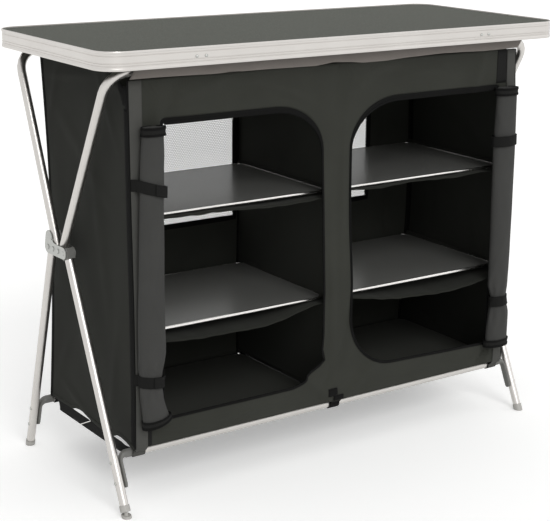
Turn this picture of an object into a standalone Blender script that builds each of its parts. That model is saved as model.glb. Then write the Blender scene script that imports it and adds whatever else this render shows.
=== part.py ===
"""A folding camping kitchen: a rimmed worktop on a folding tube frame with a hanging cloth cabinet.

World frame, in metres: X runs to the viewer's right, -Y is the front and Z is up. The origin is
on the floor under the middle of the worktop. Each named object is one subcomponent.
"""

import math

import bmesh
import bpy
from mathutils import Vector

# Worktop.
TOP_W = 1.000
TOP_D = 0.413
TOP_H = 0.806
RIM_H = 0.032
RIM_WALL = 0.002
RIM_CORNER = 0.040
RIM_LEDGE = 0.010
RIM_FLANGE = 0.008
RIM_SHEET = 0.0016
RIM_REVEAL = 0.0022
BOARD_T = 0.006
CORNER_STEPS = 8

# Shop clearances.
GAP = 0.0003
RUN = 0.0005

# Tubes: outer and inner radius, and how many flats stand for the round.
TUBE_R = 0.008
TUBE_BORE = 0.0068
TUBE_SIDES = 16
BEND_R = 0.040
BEND_STEPS = 6
EYE_R = 0.009
PIN_HOLE_R = 0.0032
PIN_R = 0.0028
PIN_HEAD_R = 0.0052
PIN_HEAD_T = 0.0016
PIN_SIDES = 10

# Leg planes and the holes of the folding hub, measured in the side view.
LEG_X = 0.4655
HUB_Z = 0.4290
REAR_PIVOT_Y = 0.0645
HUB_PITCH = 0.0195
MAIN_PIN_Y = REAR_PIVOT_Y - HUB_PITCH
FRONT_PIVOT_Y = MAIN_PIN_Y - HUB_PITCH
KNUCKLE_PIN_Y = FRONT_PIVOT_Y - HUB_PITCH
UPPER_PIN_RISE = 0.0205
FOOT_Y = 0.193
FRONT_BAR_Y = -0.1545
REAR_BAR_Y = 0.1845
TOP_BAR_DROP = 0.0405
TOP_BAR_Z = TOP_H - TOP_BAR_DROP
LOW_BAR_Z = 0.098
LOW_BAR_END = 0.428
PLATE_T = 0.002
# A hub plate is a long arm with a raised tab at its rear end, drawn as arcs joined by edges.
ARM_R = 0.0108
HEEL_R = 0.0120
TAB_R = 0.0125
TAB_BACK = 0.0045
TAB_RISE = 0.0185
NOTCH_R = 0.0100
# Outline of the plastic knuckle about its pin as (y, z), in shares of the hub's pitch.
KNUCKLE_SHARES = [(0.174, -0.759), (0.451, -0.154), (0.333, 0.308), (-0.410, 0.590),
                  (-0.692, 0.410), (-0.708, -0.349)]
KNUCKLE_DROP = 0.012
SPIGOT_R = 0.0062
SPIGOT_L = 0.016

# Elbows that carry the lower bars: a flat arm on the leg that turns into a round boss for the bar.
ELBOW_ARM_T = 0.0056
ELBOW_ARM_W = 0.0140
ELBOW_BOSS_R = 0.0078
ELBOW_SQUARE = 0.6
ELBOW_LOW_Z = 0.045
ELBOW_BEND = 0.012
ELBOW_STEPS = 4
ELBOW_SIDES = 14
ELBOW_SPIGOT = 0.014

# Feet.
CAP_R = 0.0091
CAP_BORE = 0.0084
CAP_L = 0.012
CAP_FLOOR = 0.004
PAD_R = 0.0088
PAD_T = 0.0045
STEM_R = 0.0036
STEM_HOLE_R = 0.0044
STEM_L = 0.032
SCREW_LIFT = 0.0052

# Hinge clamps on the rear bar and open saddle clips over the front bar.
MOUNT_X = 0.312
CLAMP_W = 0.034
CLAMP_R = 0.0125
CLAMP_BORE = 0.0085
CLAMP_SIDES = 20
MOUNT_TOP_DROP = 0.0125
MOUNT_LOW_DROP = 0.0295
CLIP_LIP_T = 0.0035
CLIP_LIP_DROP = 0.0055
CLIP_BACK = 0.0130

# Cabinet cloth.
CLOTH_T = 0.0012
CAB_HALF_W = 0.4315
SIDE_X = 0.4325
FRONT_Y = -0.1660
BACK_Y = 0.1615
HEM_Z = 0.109
PANEL_TOP_DROP = 0.0130
CLOTH_TOP_RISE = 0.0045
PANEL_TOP_Z = TOP_BAR_Z - PANEL_TOP_DROP
CLOTH_TOP_Z = TOP_BAR_Z + CLOTH_TOP_RISE
MIDDLE_X = -0.0045
BACK_BOW = 0.016
BOW_POWER = 16
# Columns of the back cloth between its window and its seam, as shares of that strip.
BOW_SHARES = (0.42, 0.68, 0.86, 1.0)
WAVE = 0.0014
WAVE_LENGTH = 0.155
# The side walls' hem: an arch of this height over shares of the depth, and the notch at the front bar.
HEM_RISE = 0.015
HEM_SHARES = [(0.0, 0.0), (0.11, 0.87), (0.26, 1.0), (0.50, 0.33), (0.79, 0.0), (1.0, 0.0)]
NOTCH_Y = -0.138
NOTCH_STEP = 0.008
NOTCH_DROP = 0.028
DIVIDER_LIFT = 0.006
# Door openings: side edges in x, sill and head in z, and the two corner sizes on the middle side.
DOOR_EDGE_X = 0.377
DOOR_MIDDLE_GAP = 0.0275
DOOR_SILL_Z = 0.152
DOOR_HEAD_DROP = 0.0680
DOOR_HEAD_Z = PANEL_TOP_Z - DOOR_HEAD_DROP
DOOR_SQUARE_R = 0.006
HEAD_ARC_W = 0.110
HEAD_ARC_H = 0.088
LEFT_SILL_ARC_W = 0.070
LEFT_SILL_ARC_H = 0.085
RIGHT_SILL_ARC_W = 0.112
RIGHT_SILL_ARC_H = 0.120
SILL_ARC = {-1: (LEFT_SILL_ARC_W, LEFT_SILL_ARC_H), 1: (RIGHT_SILL_ARC_W, RIGHT_SILL_ARC_H)}
SIDE_POINTS = 12
RING_STEPS = 3
# Mesh windows of the back wall.
MESH_IN_X = 0.018
MESH_OUT_X = 0.3245
MESH_TOP_DROP = 0.1520
MESH_H = 0.2100
MESH_TOP_Z = CLOTH_TOP_Z - MESH_TOP_DROP
MESH_LOW_Z = MESH_TOP_Z - MESH_H
MESH_T = 0.0006
# Light band under the front rim.
BAND_Y = -0.1674
BAND_LOW_DROP = 0.0125
BAND_TOP_RISE = 0.0081
BAND_LOW_Z = TOP_BAR_Z - BAND_LOW_DROP
BAND_TOP_Z = TOP_BAR_Z + BAND_TOP_RISE
BAND_HALF_W = 0.424
BAND_SLANT = 0.010

# Shelf boards: middle depth, heights of the board undersides and the cloth slings below them.
UPPER_SHELF_Z = 0.513
MIDDLE_SHELF_Z = 0.308
FLOOR_SHELF_Z = 0.111
UPPER_SAG = 0.009
MIDDLE_SAG = 0.014
FLOOR_SAG = 0.0095
SHELF_Z = {"upper": UPPER_SHELF_Z, "middle": MIDDLE_SHELF_Z, "floor": FLOOR_SHELF_Z}
SHELF_SAG = {"upper": UPPER_SAG, "middle": MIDDLE_SAG, "floor": FLOOR_SAG}
SHELF_T = 0.004
SHELF_FRONT_Y = -0.1400
SHELF_BACK_Y = 0.1450
SHELF_OUT_X = 0.4250
SHELF_MIDDLE_GAP = 0.0035
SHELF_CORNER = 0.018
SLING_FRONT_Y = -0.1630
SLING_BACK_Y = 0.1590
SLING_LIFT = 0.012
SLING_BACK_GAP = 0.0038
SLING_POINTS = 13
# Turn of the boards, in degrees, and where each board's middle ends in the folded slab.
SLAB_ANGLE = 22.7
BOARD_TURN = 90.0 - SLAB_ANGLE
UPPER_SLAB_Z = 0.550
MIDDLE_SLAB_Z = 0.390
FLOOR_SLAB_Z = 0.240
UPPER_SLAB_Y = -0.150
MIDDLE_SLAB_Y = -0.138
FLOOR_SLAB_Y = -0.126
SLAB_PLACE = {"upper": (UPPER_SLAB_Z, UPPER_SLAB_Y), "middle": (MIDDLE_SLAB_Z, MIDDLE_SLAB_Y),
              "floor": (FLOOR_SLAB_Z, FLOOR_SLAB_Y)}

# Rolled doors, tied to the cabinet's front corners.
ROLL_HALF_W = 0.0235
ROLL_HALF_T = 0.0132
ROLL_Y = -0.1801
ROLL_TOP_DROP = 0.0015
ROLL_LOW_RISE = 0.0050
ROLL_TOP_Z = DOOR_HEAD_Z - ROLL_TOP_DROP
ROLL_LOW_Z = DOOR_SILL_Z + ROLL_LOW_RISE
ROLL_LEFT_TOP_X = -0.3955
ROLL_LEFT_LOW_X = -0.4090
ROLL_RIGHT_TOP_X = 0.3920
ROLL_RIGHT_LOW_X = 0.4010
ROLL_X = {-1: (ROLL_LEFT_TOP_X, ROLL_LEFT_LOW_X), 1: (ROLL_RIGHT_TOP_X, ROLL_RIGHT_LOW_X)}
UPPER_TIE_DROP = 0.1110
LOWER_TIE_RISE = 0.0830
ROLL_STRAP_Z = (ROLL_TOP_Z - UPPER_TIE_DROP, ROLL_LOW_Z + LOWER_TIE_RISE)
ROLL_STRAP_W = 0.024
ROLL_PINCH = 0.15
ROLL_END = 0.8
ROLL_RINGS = 24
ROLL_SIDES = 16

# Webbing along the lower sides and loops round the lower bars.
WEB_X = 0.4165
WEB_W = 0.020
WEB_Z = LOW_BAR_Z
WEB_SAG = 0.004
LOOP_BORE = 0.0086
LOOP_R = 0.0098
LOOP_MIDDLE_W = 0.025
LOOP_MIDDLE_X = 0.009
LOOP_STEPS = 14

UP = Vector((0.0, 0.0, 1.0))
RIGHT = Vector((1.0, 0.0, 0.0))
BACK = Vector((0.0, 1.0, 0.0))
ORIGIN = Vector((0.0, 0.0, 0.0))
SIDES = (-1, 1)

COLOURS = {
    "top_laminate": ((0.095, 0.100, 0.085), 0.0, 0.55),
    "aluminium": ((0.72, 0.72, 0.70), 1.0, 0.35),
    "zinc_steel": ((0.50, 0.51, 0.50), 1.0, 0.40),
    "grey_plastic": ((0.16, 0.16, 0.155), 0.0, 0.50),
    "pale_plastic": ((0.42, 0.41, 0.39), 0.0, 0.45),
    "shelf_board": ((0.070, 0.070, 0.066), 0.0, 0.35),
    "front_cloth": ((0.045, 0.045, 0.038), 0.0, 0.95),
    "dark_cloth": ((0.025, 0.025, 0.022), 0.0, 0.95),
    "black_webbing": ((0.013, 0.013, 0.013), 0.0, 0.90),
    "band_cloth": ((0.155, 0.140, 0.125), 0.0, 0.90),
    "window_mesh": ((0.55, 0.55, 0.54), 0.0, 0.90),
}


def clear_scene():
    """Removes whatever the session holds, so the build always starts empty."""
    for old in list(bpy.data.objects):
        bpy.data.objects.remove(old, do_unlink=True)


def material_for(name, kind):
    """A plain Principled material of one named kind, made new for each object."""
    colour, metallic, roughness = COLOURS[kind]
    material = bpy.data.materials.new(name + "_mat")
    material.use_nodes = True
    shader = material.node_tree.nodes["Principled BSDF"]
    shader.inputs["Base Color"].default_value = (*colour, 1.0)
    shader.inputs["Metallic"].default_value = metallic
    shader.inputs["Roughness"].default_value = roughness
    material.diffuse_color = (*colour, 1.0)
    return material


def add_part(name, solids, kind, pivot=ORIGIN, smooth=False):
    """One object from a list of (points, faces), with its origin at the pivot."""
    mesh = bpy.data.meshes.new(name)
    bm = bmesh.new()
    for points, faces in solids:
        verts = [bm.verts.new(Vector(p) - pivot) for p in points]
        for face in faces:
            bm.faces.new([verts[i] for i in face])
    bmesh.ops.recalc_face_normals(bm, faces=bm.faces)
    bm.to_mesh(mesh)
    bm.free()
    if smooth:
        mesh.shade_smooth()
        mesh.set_sharp_from_angle(angle=math.radians(40.0))
    part = bpy.data.objects.new(name, mesh)
    part.location = pivot
    bpy.context.scene.collection.objects.link(part)
    mesh.materials.append(material_for(name, kind))
    return part


def carve(part, solid, operation="DIFFERENCE"):
    """Cuts a solid out of a part, or joins it on, with an exact boolean."""
    tool = add_part(part.name + "_tool", [solid], "grey_plastic", part.location.copy())
    tool.hide_render = True
    tool.display_type = "WIRE"
    step = part.modifiers.new("boolean", "BOOLEAN")
    step.operation = operation
    step.solver = "EXACT"
    step.object = tool
    depsgraph = bpy.context.evaluated_depsgraph_get()
    mesh = bpy.data.meshes.new_from_object(part.evaluated_get(depsgraph))
    part.modifiers.clear()
    old = part.data
    part.data = mesh
    bpy.data.meshes.remove(old)
    bpy.data.objects.remove(tool, do_unlink=True)


def bridge(start_a, start_b, count):
    """Quads between two closed rings of count points."""
    return [(start_a + i, start_a + (i + 1) % count, start_b + (i + 1) % count, start_b + i)
            for i in range(count)]


def rings_solid(rings, closed=False):
    """A solid skinned over rings of equal count; closed joins the last ring to the first."""
    count = len(rings[0])
    points = [p for ring in rings for p in ring]
    faces = []
    for k in range(len(rings) - 1):
        faces += bridge(k * count, (k + 1) * count, count)
    last = (len(rings) - 1) * count
    if closed:
        faces += bridge(last, 0, count)
    else:
        faces.append(tuple(reversed(range(count))))
        faces.append(tuple(last + i for i in range(count)))
    return points, faces


def path_frames(path, binormal):
    """Tangent and side vector at every point of a path that lies in one plane."""
    frames = []
    for i, point in enumerate(path):
        before = path[max(i - 1, 0)]
        after = path[min(i + 1, len(path) - 1)]
        tangent = (after - before).normalized()
        frames.append((point, tangent, binormal.cross(tangent).normalized()))
    return frames


def circle_ring(centre, side, other, radius, count):
    """Points of a circle in the plane of two unit vectors."""
    return [centre + side * (radius * math.cos(math.tau * i / count))
            + other * (radius * math.sin(math.tau * i / count)) for i in range(count)]


def rod(path, binormal, radii, count):
    """A solid rod along a path with one radius per point."""
    frames = path_frames(path, binormal)
    return rings_solid([circle_ring(p, n, binormal, r, count)
                        for (p, _, n), r in zip(frames, radii)])


def tube(path, binormal, eye_start=False, eye_end=False):
    """A hollow tube along a path; an eye rounds that end about the path's end point."""
    frames = path_frames(path, binormal)
    shells = []
    for radius in (TUBE_R, TUBE_BORE):
        rings = [circle_ring(p, n, binormal, radius, TUBE_SIDES) for p, _, n in frames]
        if eye_start:
            start, tangent, _ = frames[0]
            rings[0] = [q - tangent * math.sqrt(EYE_R ** 2 - (q - start).dot(binormal) ** 2)
                        for q in rings[0]]
        if eye_end:
            end, tangent, _ = frames[-1]
            rings[-1] = [q + tangent * math.sqrt(EYE_R ** 2 - (q - end).dot(binormal) ** 2)
                         for q in rings[-1]]
        shells.append(rings)
    outer, inner = shells
    return rings_solid(outer + list(reversed(inner)), closed=True)


def revolve(base, axis, profile, count, closed=False, levels=()):
    """A solid turned about an axis from (radius, distance) pairs.

    The first rings are slid along the axis into level planes at the heights listed in levels.
    """
    side = axis.cross(RIGHT).normalized()
    other = axis.cross(side).normalized()
    rings = []
    for k, (radius, along) in enumerate(profile):
        ring = circle_ring(base + axis * along, side, other, radius, count)
        if k < len(levels):
            ring = [q + axis * ((levels[k] - q.z) / axis.z) for q in ring]
        rings.append(ring)
    return rings_solid(rings, closed)


def prism(outline, low_x, high_x):
    """A (y, z) outline drawn out along X."""
    rings = [[Vector((x, y, z)) for y, z in outline] for x in (low_x, high_x)]
    return rings_solid(rings)


def thick_skin(points, quads, normal, thickness):
    """A sheet of cloth: a skin of quads given thickness along one direction."""
    half = normal * (thickness / 2)
    count = len(points)
    solid = [p + half for p in points] + [p - half for p in points]
    faces = list(quads) + [tuple(i + count for i in reversed(q)) for q in quads]
    edges = {}
    for quad in quads:
        for a, b in zip(quad, quad[1:] + quad[:1]):
            edges[(a, b)] = True
    for a, b in edges:
        if (b, a) not in edges:
            faces.append((b, a, a + count, b + count))
    return solid, faces


def grid_skin(columns, rows, place, normal, thickness, hole=None):
    """A cloth sheet over a grid of two parameters; hole(u, v) tells which cells are left out."""
    points = [place(u, v) for v in rows for u in columns]
    width = len(columns)
    quads = []
    for j in range(len(rows) - 1):
        for i in range(width - 1):
            middle_u = (columns[i] + columns[i + 1]) / 2
            middle_v = (rows[j] + rows[j + 1]) / 2
            if hole and hole(middle_u, middle_v):
                continue
            a = j * width + i
            quads.append((a, a + 1, a + 1 + width, a + width))
    used = sorted({i for q in quads for i in q})
    new = {old: k for k, old in enumerate(used)}
    quads = [tuple(new[i] for i in q) for q in quads]
    return thick_skin([points[i] for i in used], quads, normal, thickness)


def spread(low, high, count):
    """Evenly spaced numbers from low to high."""
    return [low + (high - low) * i / (count - 1) for i in range(count)]


def between(table, at):
    """Straight-line reading of a table of (position, value) rows."""
    for (a, va), (b, vb) in zip(table, table[1:]):
        if at <= b:
            share = max((at - a) / (b - a), 0.0)
            return va + (vb - va) * share
    return table[-1][1]


def rounded_outline(half_x, half_y, radius, steps):
    """Corner-rounded rectangle about the origin, as (x, y) pairs."""
    outline = []
    for k, (sx, sy) in enumerate(((1, 1), (-1, 1), (-1, -1), (1, -1))):
        for i in range(steps + 1):
            angle = math.radians(90.0 * k + 90.0 * i / steps)
            outline.append((sx * (half_x - radius) + radius * math.cos(angle),
                            sy * (half_y - radius) + radius * math.sin(angle)))
    return outline


def slab(outline, low_z, high_z, centre_x=0.0, centre_y=0.0):
    """A flat plate with an (x, y) outline."""
    return rings_solid([[Vector((centre_x + x, centre_y + y, z)) for x, y in outline]
                        for z in (low_z, high_z)])


# Worktop body.
HINGE = Vector((0.0, REAR_BAR_Y, TOP_BAR_Z))
RIM_LOW = TOP_H - RIM_H
BOARD_TOP = TOP_H - RIM_REVEAL
BOARD_LOW = BOARD_TOP - BOARD_T
MOUNT_TOP = TOP_H - MOUNT_TOP_DROP
MOUNT_LOW = TOP_H - MOUNT_LOW_DROP


def build_worktop():
    """The board, its rim extrusion, the braces and the pieces that hold it on the two top bars."""
    half_x = TOP_W / 2
    half_y = TOP_D / 2
    inset = RIM_WALL + GAP
    plate = rounded_outline(half_x - inset, half_y - inset, RIM_CORNER - inset, CORNER_STEPS)
    add_part("tabletop_board", [slab(plate, BOARD_LOW, BOARD_TOP)], "top_laminate", HINGE)

    ledge_top = BOARD_LOW - GAP
    ledge_low = ledge_top - RIM_SHEET
    flange_top = RIM_LOW + RIM_SHEET
    section = [(0.0, RIM_LOW), (0.0, TOP_H), (RIM_WALL, TOP_H), (RIM_WALL, ledge_top),
               (RIM_LEDGE, ledge_top), (RIM_LEDGE, ledge_low), (RIM_WALL, ledge_low),
               (RIM_WALL, flange_top), (RIM_FLANGE, flange_top), (RIM_FLANGE, RIM_LOW)]
    loops = []
    for depth, z in section:
        outline = rounded_outline(half_x - depth, half_y - depth, RIM_CORNER - depth, CORNER_STEPS)
        loops.append([Vector((x, y, z)) for x, y in outline])
    add_part("table_rim", [rings_solid(loops, closed=True)], "aluminium", HINGE, smooth=True)

    wall_y = half_y - RIM_WALL - GAP
    clip_bar = Vector((0.0, FRONT_BAR_Y, TOP_BAR_Z))
    lip_back = clip_bar.y - TUBE_R - RUN
    lip_front = lip_back - CLIP_LIP_T
    arm_low = clip_bar.z + TUBE_R + RUN
    lip_low = clip_bar.z - CLIP_LIP_DROP
    profile = [(-wall_y, MOUNT_TOP), (-wall_y, MOUNT_LOW), (lip_front, MOUNT_LOW),
               (lip_front, lip_low), (lip_back, lip_low), (lip_back, arm_low),
               (clip_bar.y + CLIP_BACK, arm_low), (clip_bar.y + CLIP_BACK, MOUNT_TOP)]
    for side in SIDES:
        low, high = side * MOUNT_X - CLAMP_W / 2, side * MOUNT_X + CLAMP_W / 2
        add_part("front_clip_" + SIDE_NAMES[side], [prism(profile, low, high)], "grey_plastic", HINGE)
        add_part("hinge_clamp_" + SIDE_NAMES[side], [hinge_clamp(side * MOUNT_X)], "grey_plastic",
                 HINGE, smooth=True)


def hinge_clamp(middle_x):
    """A plastic block on the worktop whose bore turns on the rear top bar."""
    outer = []
    inner = []
    for i in range(CLAMP_SIDES):
        angle = math.pi * (2 * i + 1) / CLAMP_SIDES
        across, rise = math.cos(angle), math.sin(angle)
        inner.append((HINGE.y + CLAMP_BORE * across, HINGE.z + CLAMP_BORE * rise))
        if rise > 0.0:
            corner = max(abs(across), rise)
            reach_z = (MOUNT_TOP - HINGE.z) * rise / corner
            reach_y = CLAMP_R * across / corner
            outer.append((HINGE.y + reach_y, HINGE.z + reach_z))
        else:
            outer.append((HINGE.y + CLAMP_R * across, HINGE.z + CLAMP_R * rise))
    half = CLAMP_W / 2
    rings = []
    for x, loop in ((middle_x - half, outer), (middle_x + half, outer),
                    (middle_x + half, inner), (middle_x - half, inner)):
        rings.append([Vector((x, y, z)) for y, z in loop])
    return rings_solid(rings, closed=True)


def leg_line(low, high):
    """Unit direction of a leg from its lower to its upper (y, z) point, and its plane's normal."""
    along = Vector((0.0, high[0] - low[0], high[1] - low[1])).normalized()
    return along, RIGHT.cross(along)


def upper_frame(pivot_yz, bar_yz):
    """A U-bent tube: from one hub up to a bend, across under the worktop and down to the other hub."""
    along, normal = leg_line(pivot_yz, bar_yz)
    path = []
    for side in SIDES:
        foot = Vector((side * LEG_X, *pivot_yz))
        corner = Vector((side * LEG_X, *bar_yz))
        inward = RIGHT * -side
        centre = corner - along * BEND_R + inward * BEND_R
        arc = [foot]
        for i in range(BEND_STEPS + 1):
            angle = math.radians(90.0 * i / BEND_STEPS)
            arc.append(centre - inward * (BEND_R * math.cos(angle)) + along * (BEND_R * math.sin(angle)))
        path += arc if side < 0 else arc[::-1]
    return tube(path, normal, eye_start=True, eye_end=True)


def cross_bar(y, z, half_length):
    """A straight hollow bar along X."""
    return tube([Vector((-half_length, y, z)), Vector((half_length, y, z))], BACK)


def pin_holes(side, points):
    """Cutters for cross holes through one hub at (y, z) points."""
    reach = 3.0 * TUBE_R
    return [rod([Vector((side * LEG_X - reach, y, z)), Vector((side * LEG_X + reach, y, z))],
                BACK, (PIN_HOLE_R, PIN_HOLE_R), PIN_SIDES) for y, z in points]


REAR_PIVOT = (REAR_PIVOT_Y, HUB_Z)
MAIN_PIN = (MAIN_PIN_Y, HUB_Z)
FRONT_PIVOT = (FRONT_PIVOT_Y, HUB_Z)
KNUCKLE_PIN = (KNUCKLE_PIN_Y, HUB_Z)
REAR_BAR = (REAR_BAR_Y, TOP_BAR_Z)
FRONT_BAR = (FRONT_BAR_Y, TOP_BAR_Z)
MAIN_SLOPE = (REAR_BAR_Y - MAIN_PIN_Y) / (TOP_BAR_Z - HUB_Z)
UPPER_PIN = (MAIN_PIN_Y + MAIN_SLOPE * UPPER_PIN_RISE, HUB_Z + UPPER_PIN_RISE)
HUB_PINS = (REAR_PIVOT, MAIN_PIN, FRONT_PIVOT, KNUCKLE_PIN, UPPER_PIN)
FRONT_SLOPE = (KNUCKLE_PIN_Y + FOOT_Y) / HUB_Z
REAR_SLOPE = (REAR_PIVOT_Y - FOOT_Y) / HUB_Z
SIDE_NAMES = {-1: "left", 1: "right"}


def build_upper_frames():
    """Two U-shaped upper frames: the rear one fixed to the hubs and the front one hinged there."""
    for name, pivot, bar, holes, origin in (
            ("upper_frame_rear", MAIN_PIN, REAR_BAR, (MAIN_PIN, UPPER_PIN), ORIGIN),
            ("upper_frame_front", FRONT_PIVOT, FRONT_BAR, (FRONT_PIVOT,), Vector((0.0, *FRONT_PIVOT)))):
        frame = add_part(name, [upper_frame(pivot, bar)], "aluminium", origin, smooth=True)
        for side in SIDES:
            for cutter in pin_holes(side, holes):
                carve(frame, cutter)


def arc_points(centre, radius, start, end, steps):
    """Points of an arc in the (y, z) plane between two angles in degrees."""
    turns = [math.radians(start + (end - start) * i / steps) for i in range(steps + 1)]
    return [(centre[0] + radius * math.cos(t), centre[1] + radius * math.sin(t)) for t in turns]


def plate_outline():
    """The (y, z) outline of a hub plate: arm end, heel, raised tab and the fillet beneath it."""
    tab = (REAR_PIVOT_Y - TAB_BACK, HUB_Z + TAB_RISE)
    fillet = (tab[0] - TAB_R - NOTCH_R, HUB_Z + ARM_R + NOTCH_R)
    return (arc_points(KNUCKLE_PIN, ARM_R, 90.0, 270.0, 8)
            + arc_points(REAR_PIVOT, HEEL_R, 262.0, 368.0, 6)
            + arc_points(tab, TAB_R, 10.0, 180.0, 8)
            + arc_points(fillet, NOTCH_R, 0.0, -90.0, 4))


def build_hubs():
    """Plates on both faces of each leg pair, the rivets through them and the lower leg's knuckle."""
    near = TUBE_R + GAP
    far = near + PLATE_T
    along = Vector((0.0, FRONT_SLOPE, 1.0)).normalized()
    knuckle_outline = [(KNUCKLE_PIN_Y + y * HUB_PITCH, HUB_Z + z * HUB_PITCH) for y, z in KNUCKLE_SHARES]
    for side in SIDES:
        end = SIDE_NAMES[side]
        for name, facing in (("outer", 1), ("inner", -1)):
            edges = sorted((side * (LEG_X + facing * near), side * (LEG_X + facing * far)))
            plate = add_part("hub_plate_" + name + "_" + end, [prism(plate_outline(), *edges)],
                             "zinc_steel")
            for cutter in pin_holes(side, HUB_PINS):
                carve(plate, cutter)

        head = far + GAP
        tip = head + PIN_HEAD_T
        crown = (PIN_R + PIN_HEAD_R) / 2
        profile = ((crown, -tip), (PIN_HEAD_R, -head), (PIN_R, -head), (PIN_R, head),
                   (PIN_HEAD_R, head), (crown, tip))
        for name, pin in (("front_pivot_", FRONT_PIVOT), ("rear_pivot_", REAR_PIVOT),
                          ("hub_rivet_", MAIN_PIN)):
            middle = Vector((side * LEG_X, *pin))
            add_part(name + end, [revolve_x(middle, profile, PIN_SIDES)], "zinc_steel", smooth=True)

        knuckle = add_part("hub_knuckle_" + end,
                           [prism(knuckle_outline, side * LEG_X - TUBE_R, side * LEG_X + TUBE_R)],
                           "grey_plastic")
        pin = Vector((side * LEG_X, *KNUCKLE_PIN))
        path = [pin - along * (KNUCKLE_DROP + SPIGOT_L), pin - along * (KNUCKLE_DROP - SPIGOT_R)]
        carve(knuckle, rod(path, RIGHT, (SPIGOT_R, SPIGOT_R), PIN_SIDES), "UNION")
        for cutter in pin_holes(side, (KNUCKLE_PIN,)):
            carve(knuckle, cutter)


def revolve_x(middle, profile, count):
    """A solid turned about the X direction through a middle point, from (radius, x offset) pairs."""
    rings = [circle_ring(middle + RIGHT * along, BACK, UP, radius, count) for radius, along in profile]
    return rings_solid(rings)


def foot_axis(rear):
    """Upward unit direction of a lower leg and the y of its floor point."""
    slope = REAR_SLOPE if rear else FRONT_SLOPE
    return Vector((0.0, slope, 1.0)).normalized(), FOOT_Y if rear else -FOOT_Y


def lower_leg(side, rear, low_gap):
    """A lower leg tube from just above the floor to the hub."""
    along, floor_y = foot_axis(rear)
    base = Vector((side * LEG_X, floor_y, 0.0))
    low = base + along * low_gap
    normal = RIGHT.cross(along)
    if rear:
        pivot = Vector((side * LEG_X, *REAR_PIVOT))
        return tube([pivot, low], -normal, eye_start=True)
    high = Vector((side * LEG_X, *KNUCKLE_PIN)) - along * (KNUCKLE_DROP + GAP)
    return tube([low, high], normal)


def soft_ring(centre, side, other, half_a, half_b, roundness):
    """A ring between a soft-cornered rectangle, at roundness 0, and an ellipse, at 1."""
    power = ELBOW_SQUARE + (1.0 - ELBOW_SQUARE) * roundness
    ring = []
    for i in range(ELBOW_SIDES):
        turn = math.tau * i / ELBOW_SIDES
        a = math.copysign(abs(math.cos(turn)) ** power, math.cos(turn))
        b = math.copysign(abs(math.sin(turn)) ** power, math.sin(turn))
        ring.append(centre + side * (half_a * a) + other * (half_b * b))
    return ring


def elbow(side, rear):
    """A plastic elbow: a flat arm down the inner face of the leg and a boss and spigot for the bar."""
    along, floor_y = foot_axis(rear)
    slope = along.y / along.z
    arm_x = LEG_X - TUBE_R - GAP - ELBOW_ARM_T / 2
    inward = RIGHT * -side
    corner = Vector((side * arm_x, floor_y + slope * LOW_BAR_Z, LOW_BAR_Z))
    low = Vector((side * arm_x, floor_y + slope * ELBOW_LOW_Z, ELBOW_LOW_Z))
    centre = corner - along * ELBOW_BEND + inward * ELBOW_BEND
    half_t, half_w = ELBOW_ARM_T / 2, ELBOW_ARM_W / 2
    path = []
    sizes = []
    for i in range(1, ELBOW_STEPS):
        turn = math.radians(90.0 * i / (ELBOW_STEPS - 1))
        path.append(low + along * (half_w * (1.0 - math.cos(turn))))
        sizes.append((half_t, half_w * math.sin(turn), 0.0))
    for i in range(ELBOW_STEPS + 1):
        angle = math.radians(90.0 * i / ELBOW_STEPS)
        share = max(i - 1, 0) / (ELBOW_STEPS - 1)
        path.append(centre - inward * (ELBOW_BEND * math.cos(angle))
                    + along * (ELBOW_BEND * math.sin(angle)))
        sizes.append((half_t + (ELBOW_BOSS_R - half_t) * share, half_w + (ELBOW_BOSS_R - half_w) * share,
                      share))
    mouth = Vector((side * (LOW_BAR_END + GAP), corner.y, corner.z))
    normal = inward.cross(along) * -1.0
    rings = [soft_ring(p, n, normal, *size) for (p, _, n), size in zip(path_frames(path, normal), sizes)]
    flank = normal.cross(inward).normalized()
    spigot = mouth + inward * ELBOW_SPIGOT
    for place, radius in ((mouth, ELBOW_BOSS_R), (mouth, SPIGOT_R), (spigot, SPIGOT_R)):
        rings.append(circle_ring(place, flank, normal, radius, ELBOW_SIDES))
    return rings_solid(rings)


def end_cap(side, rear, base_gap=0.0, hole=0.0):
    """A plastic cup on the end of a leg; its underside lies flat on the floor."""
    along, floor_y = foot_axis(rear)
    base = Vector((side * LEG_X, floor_y, 0.0))
    top = base_gap + CAP_L
    seat = base_gap + CAP_FLOOR
    if hole:
        profile = ((hole, base_gap), (CAP_R, base_gap), (CAP_R, top), (CAP_BORE, top),
                   (CAP_BORE, seat), (hole, seat))
        return revolve(base, along, profile, TUBE_SIDES, closed=True)
    profile = ((CAP_R, base_gap), (CAP_R, top), (CAP_BORE, top), (CAP_BORE, seat))
    return revolve(base, along, profile, TUBE_SIDES, levels=(0.0,))


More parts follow.
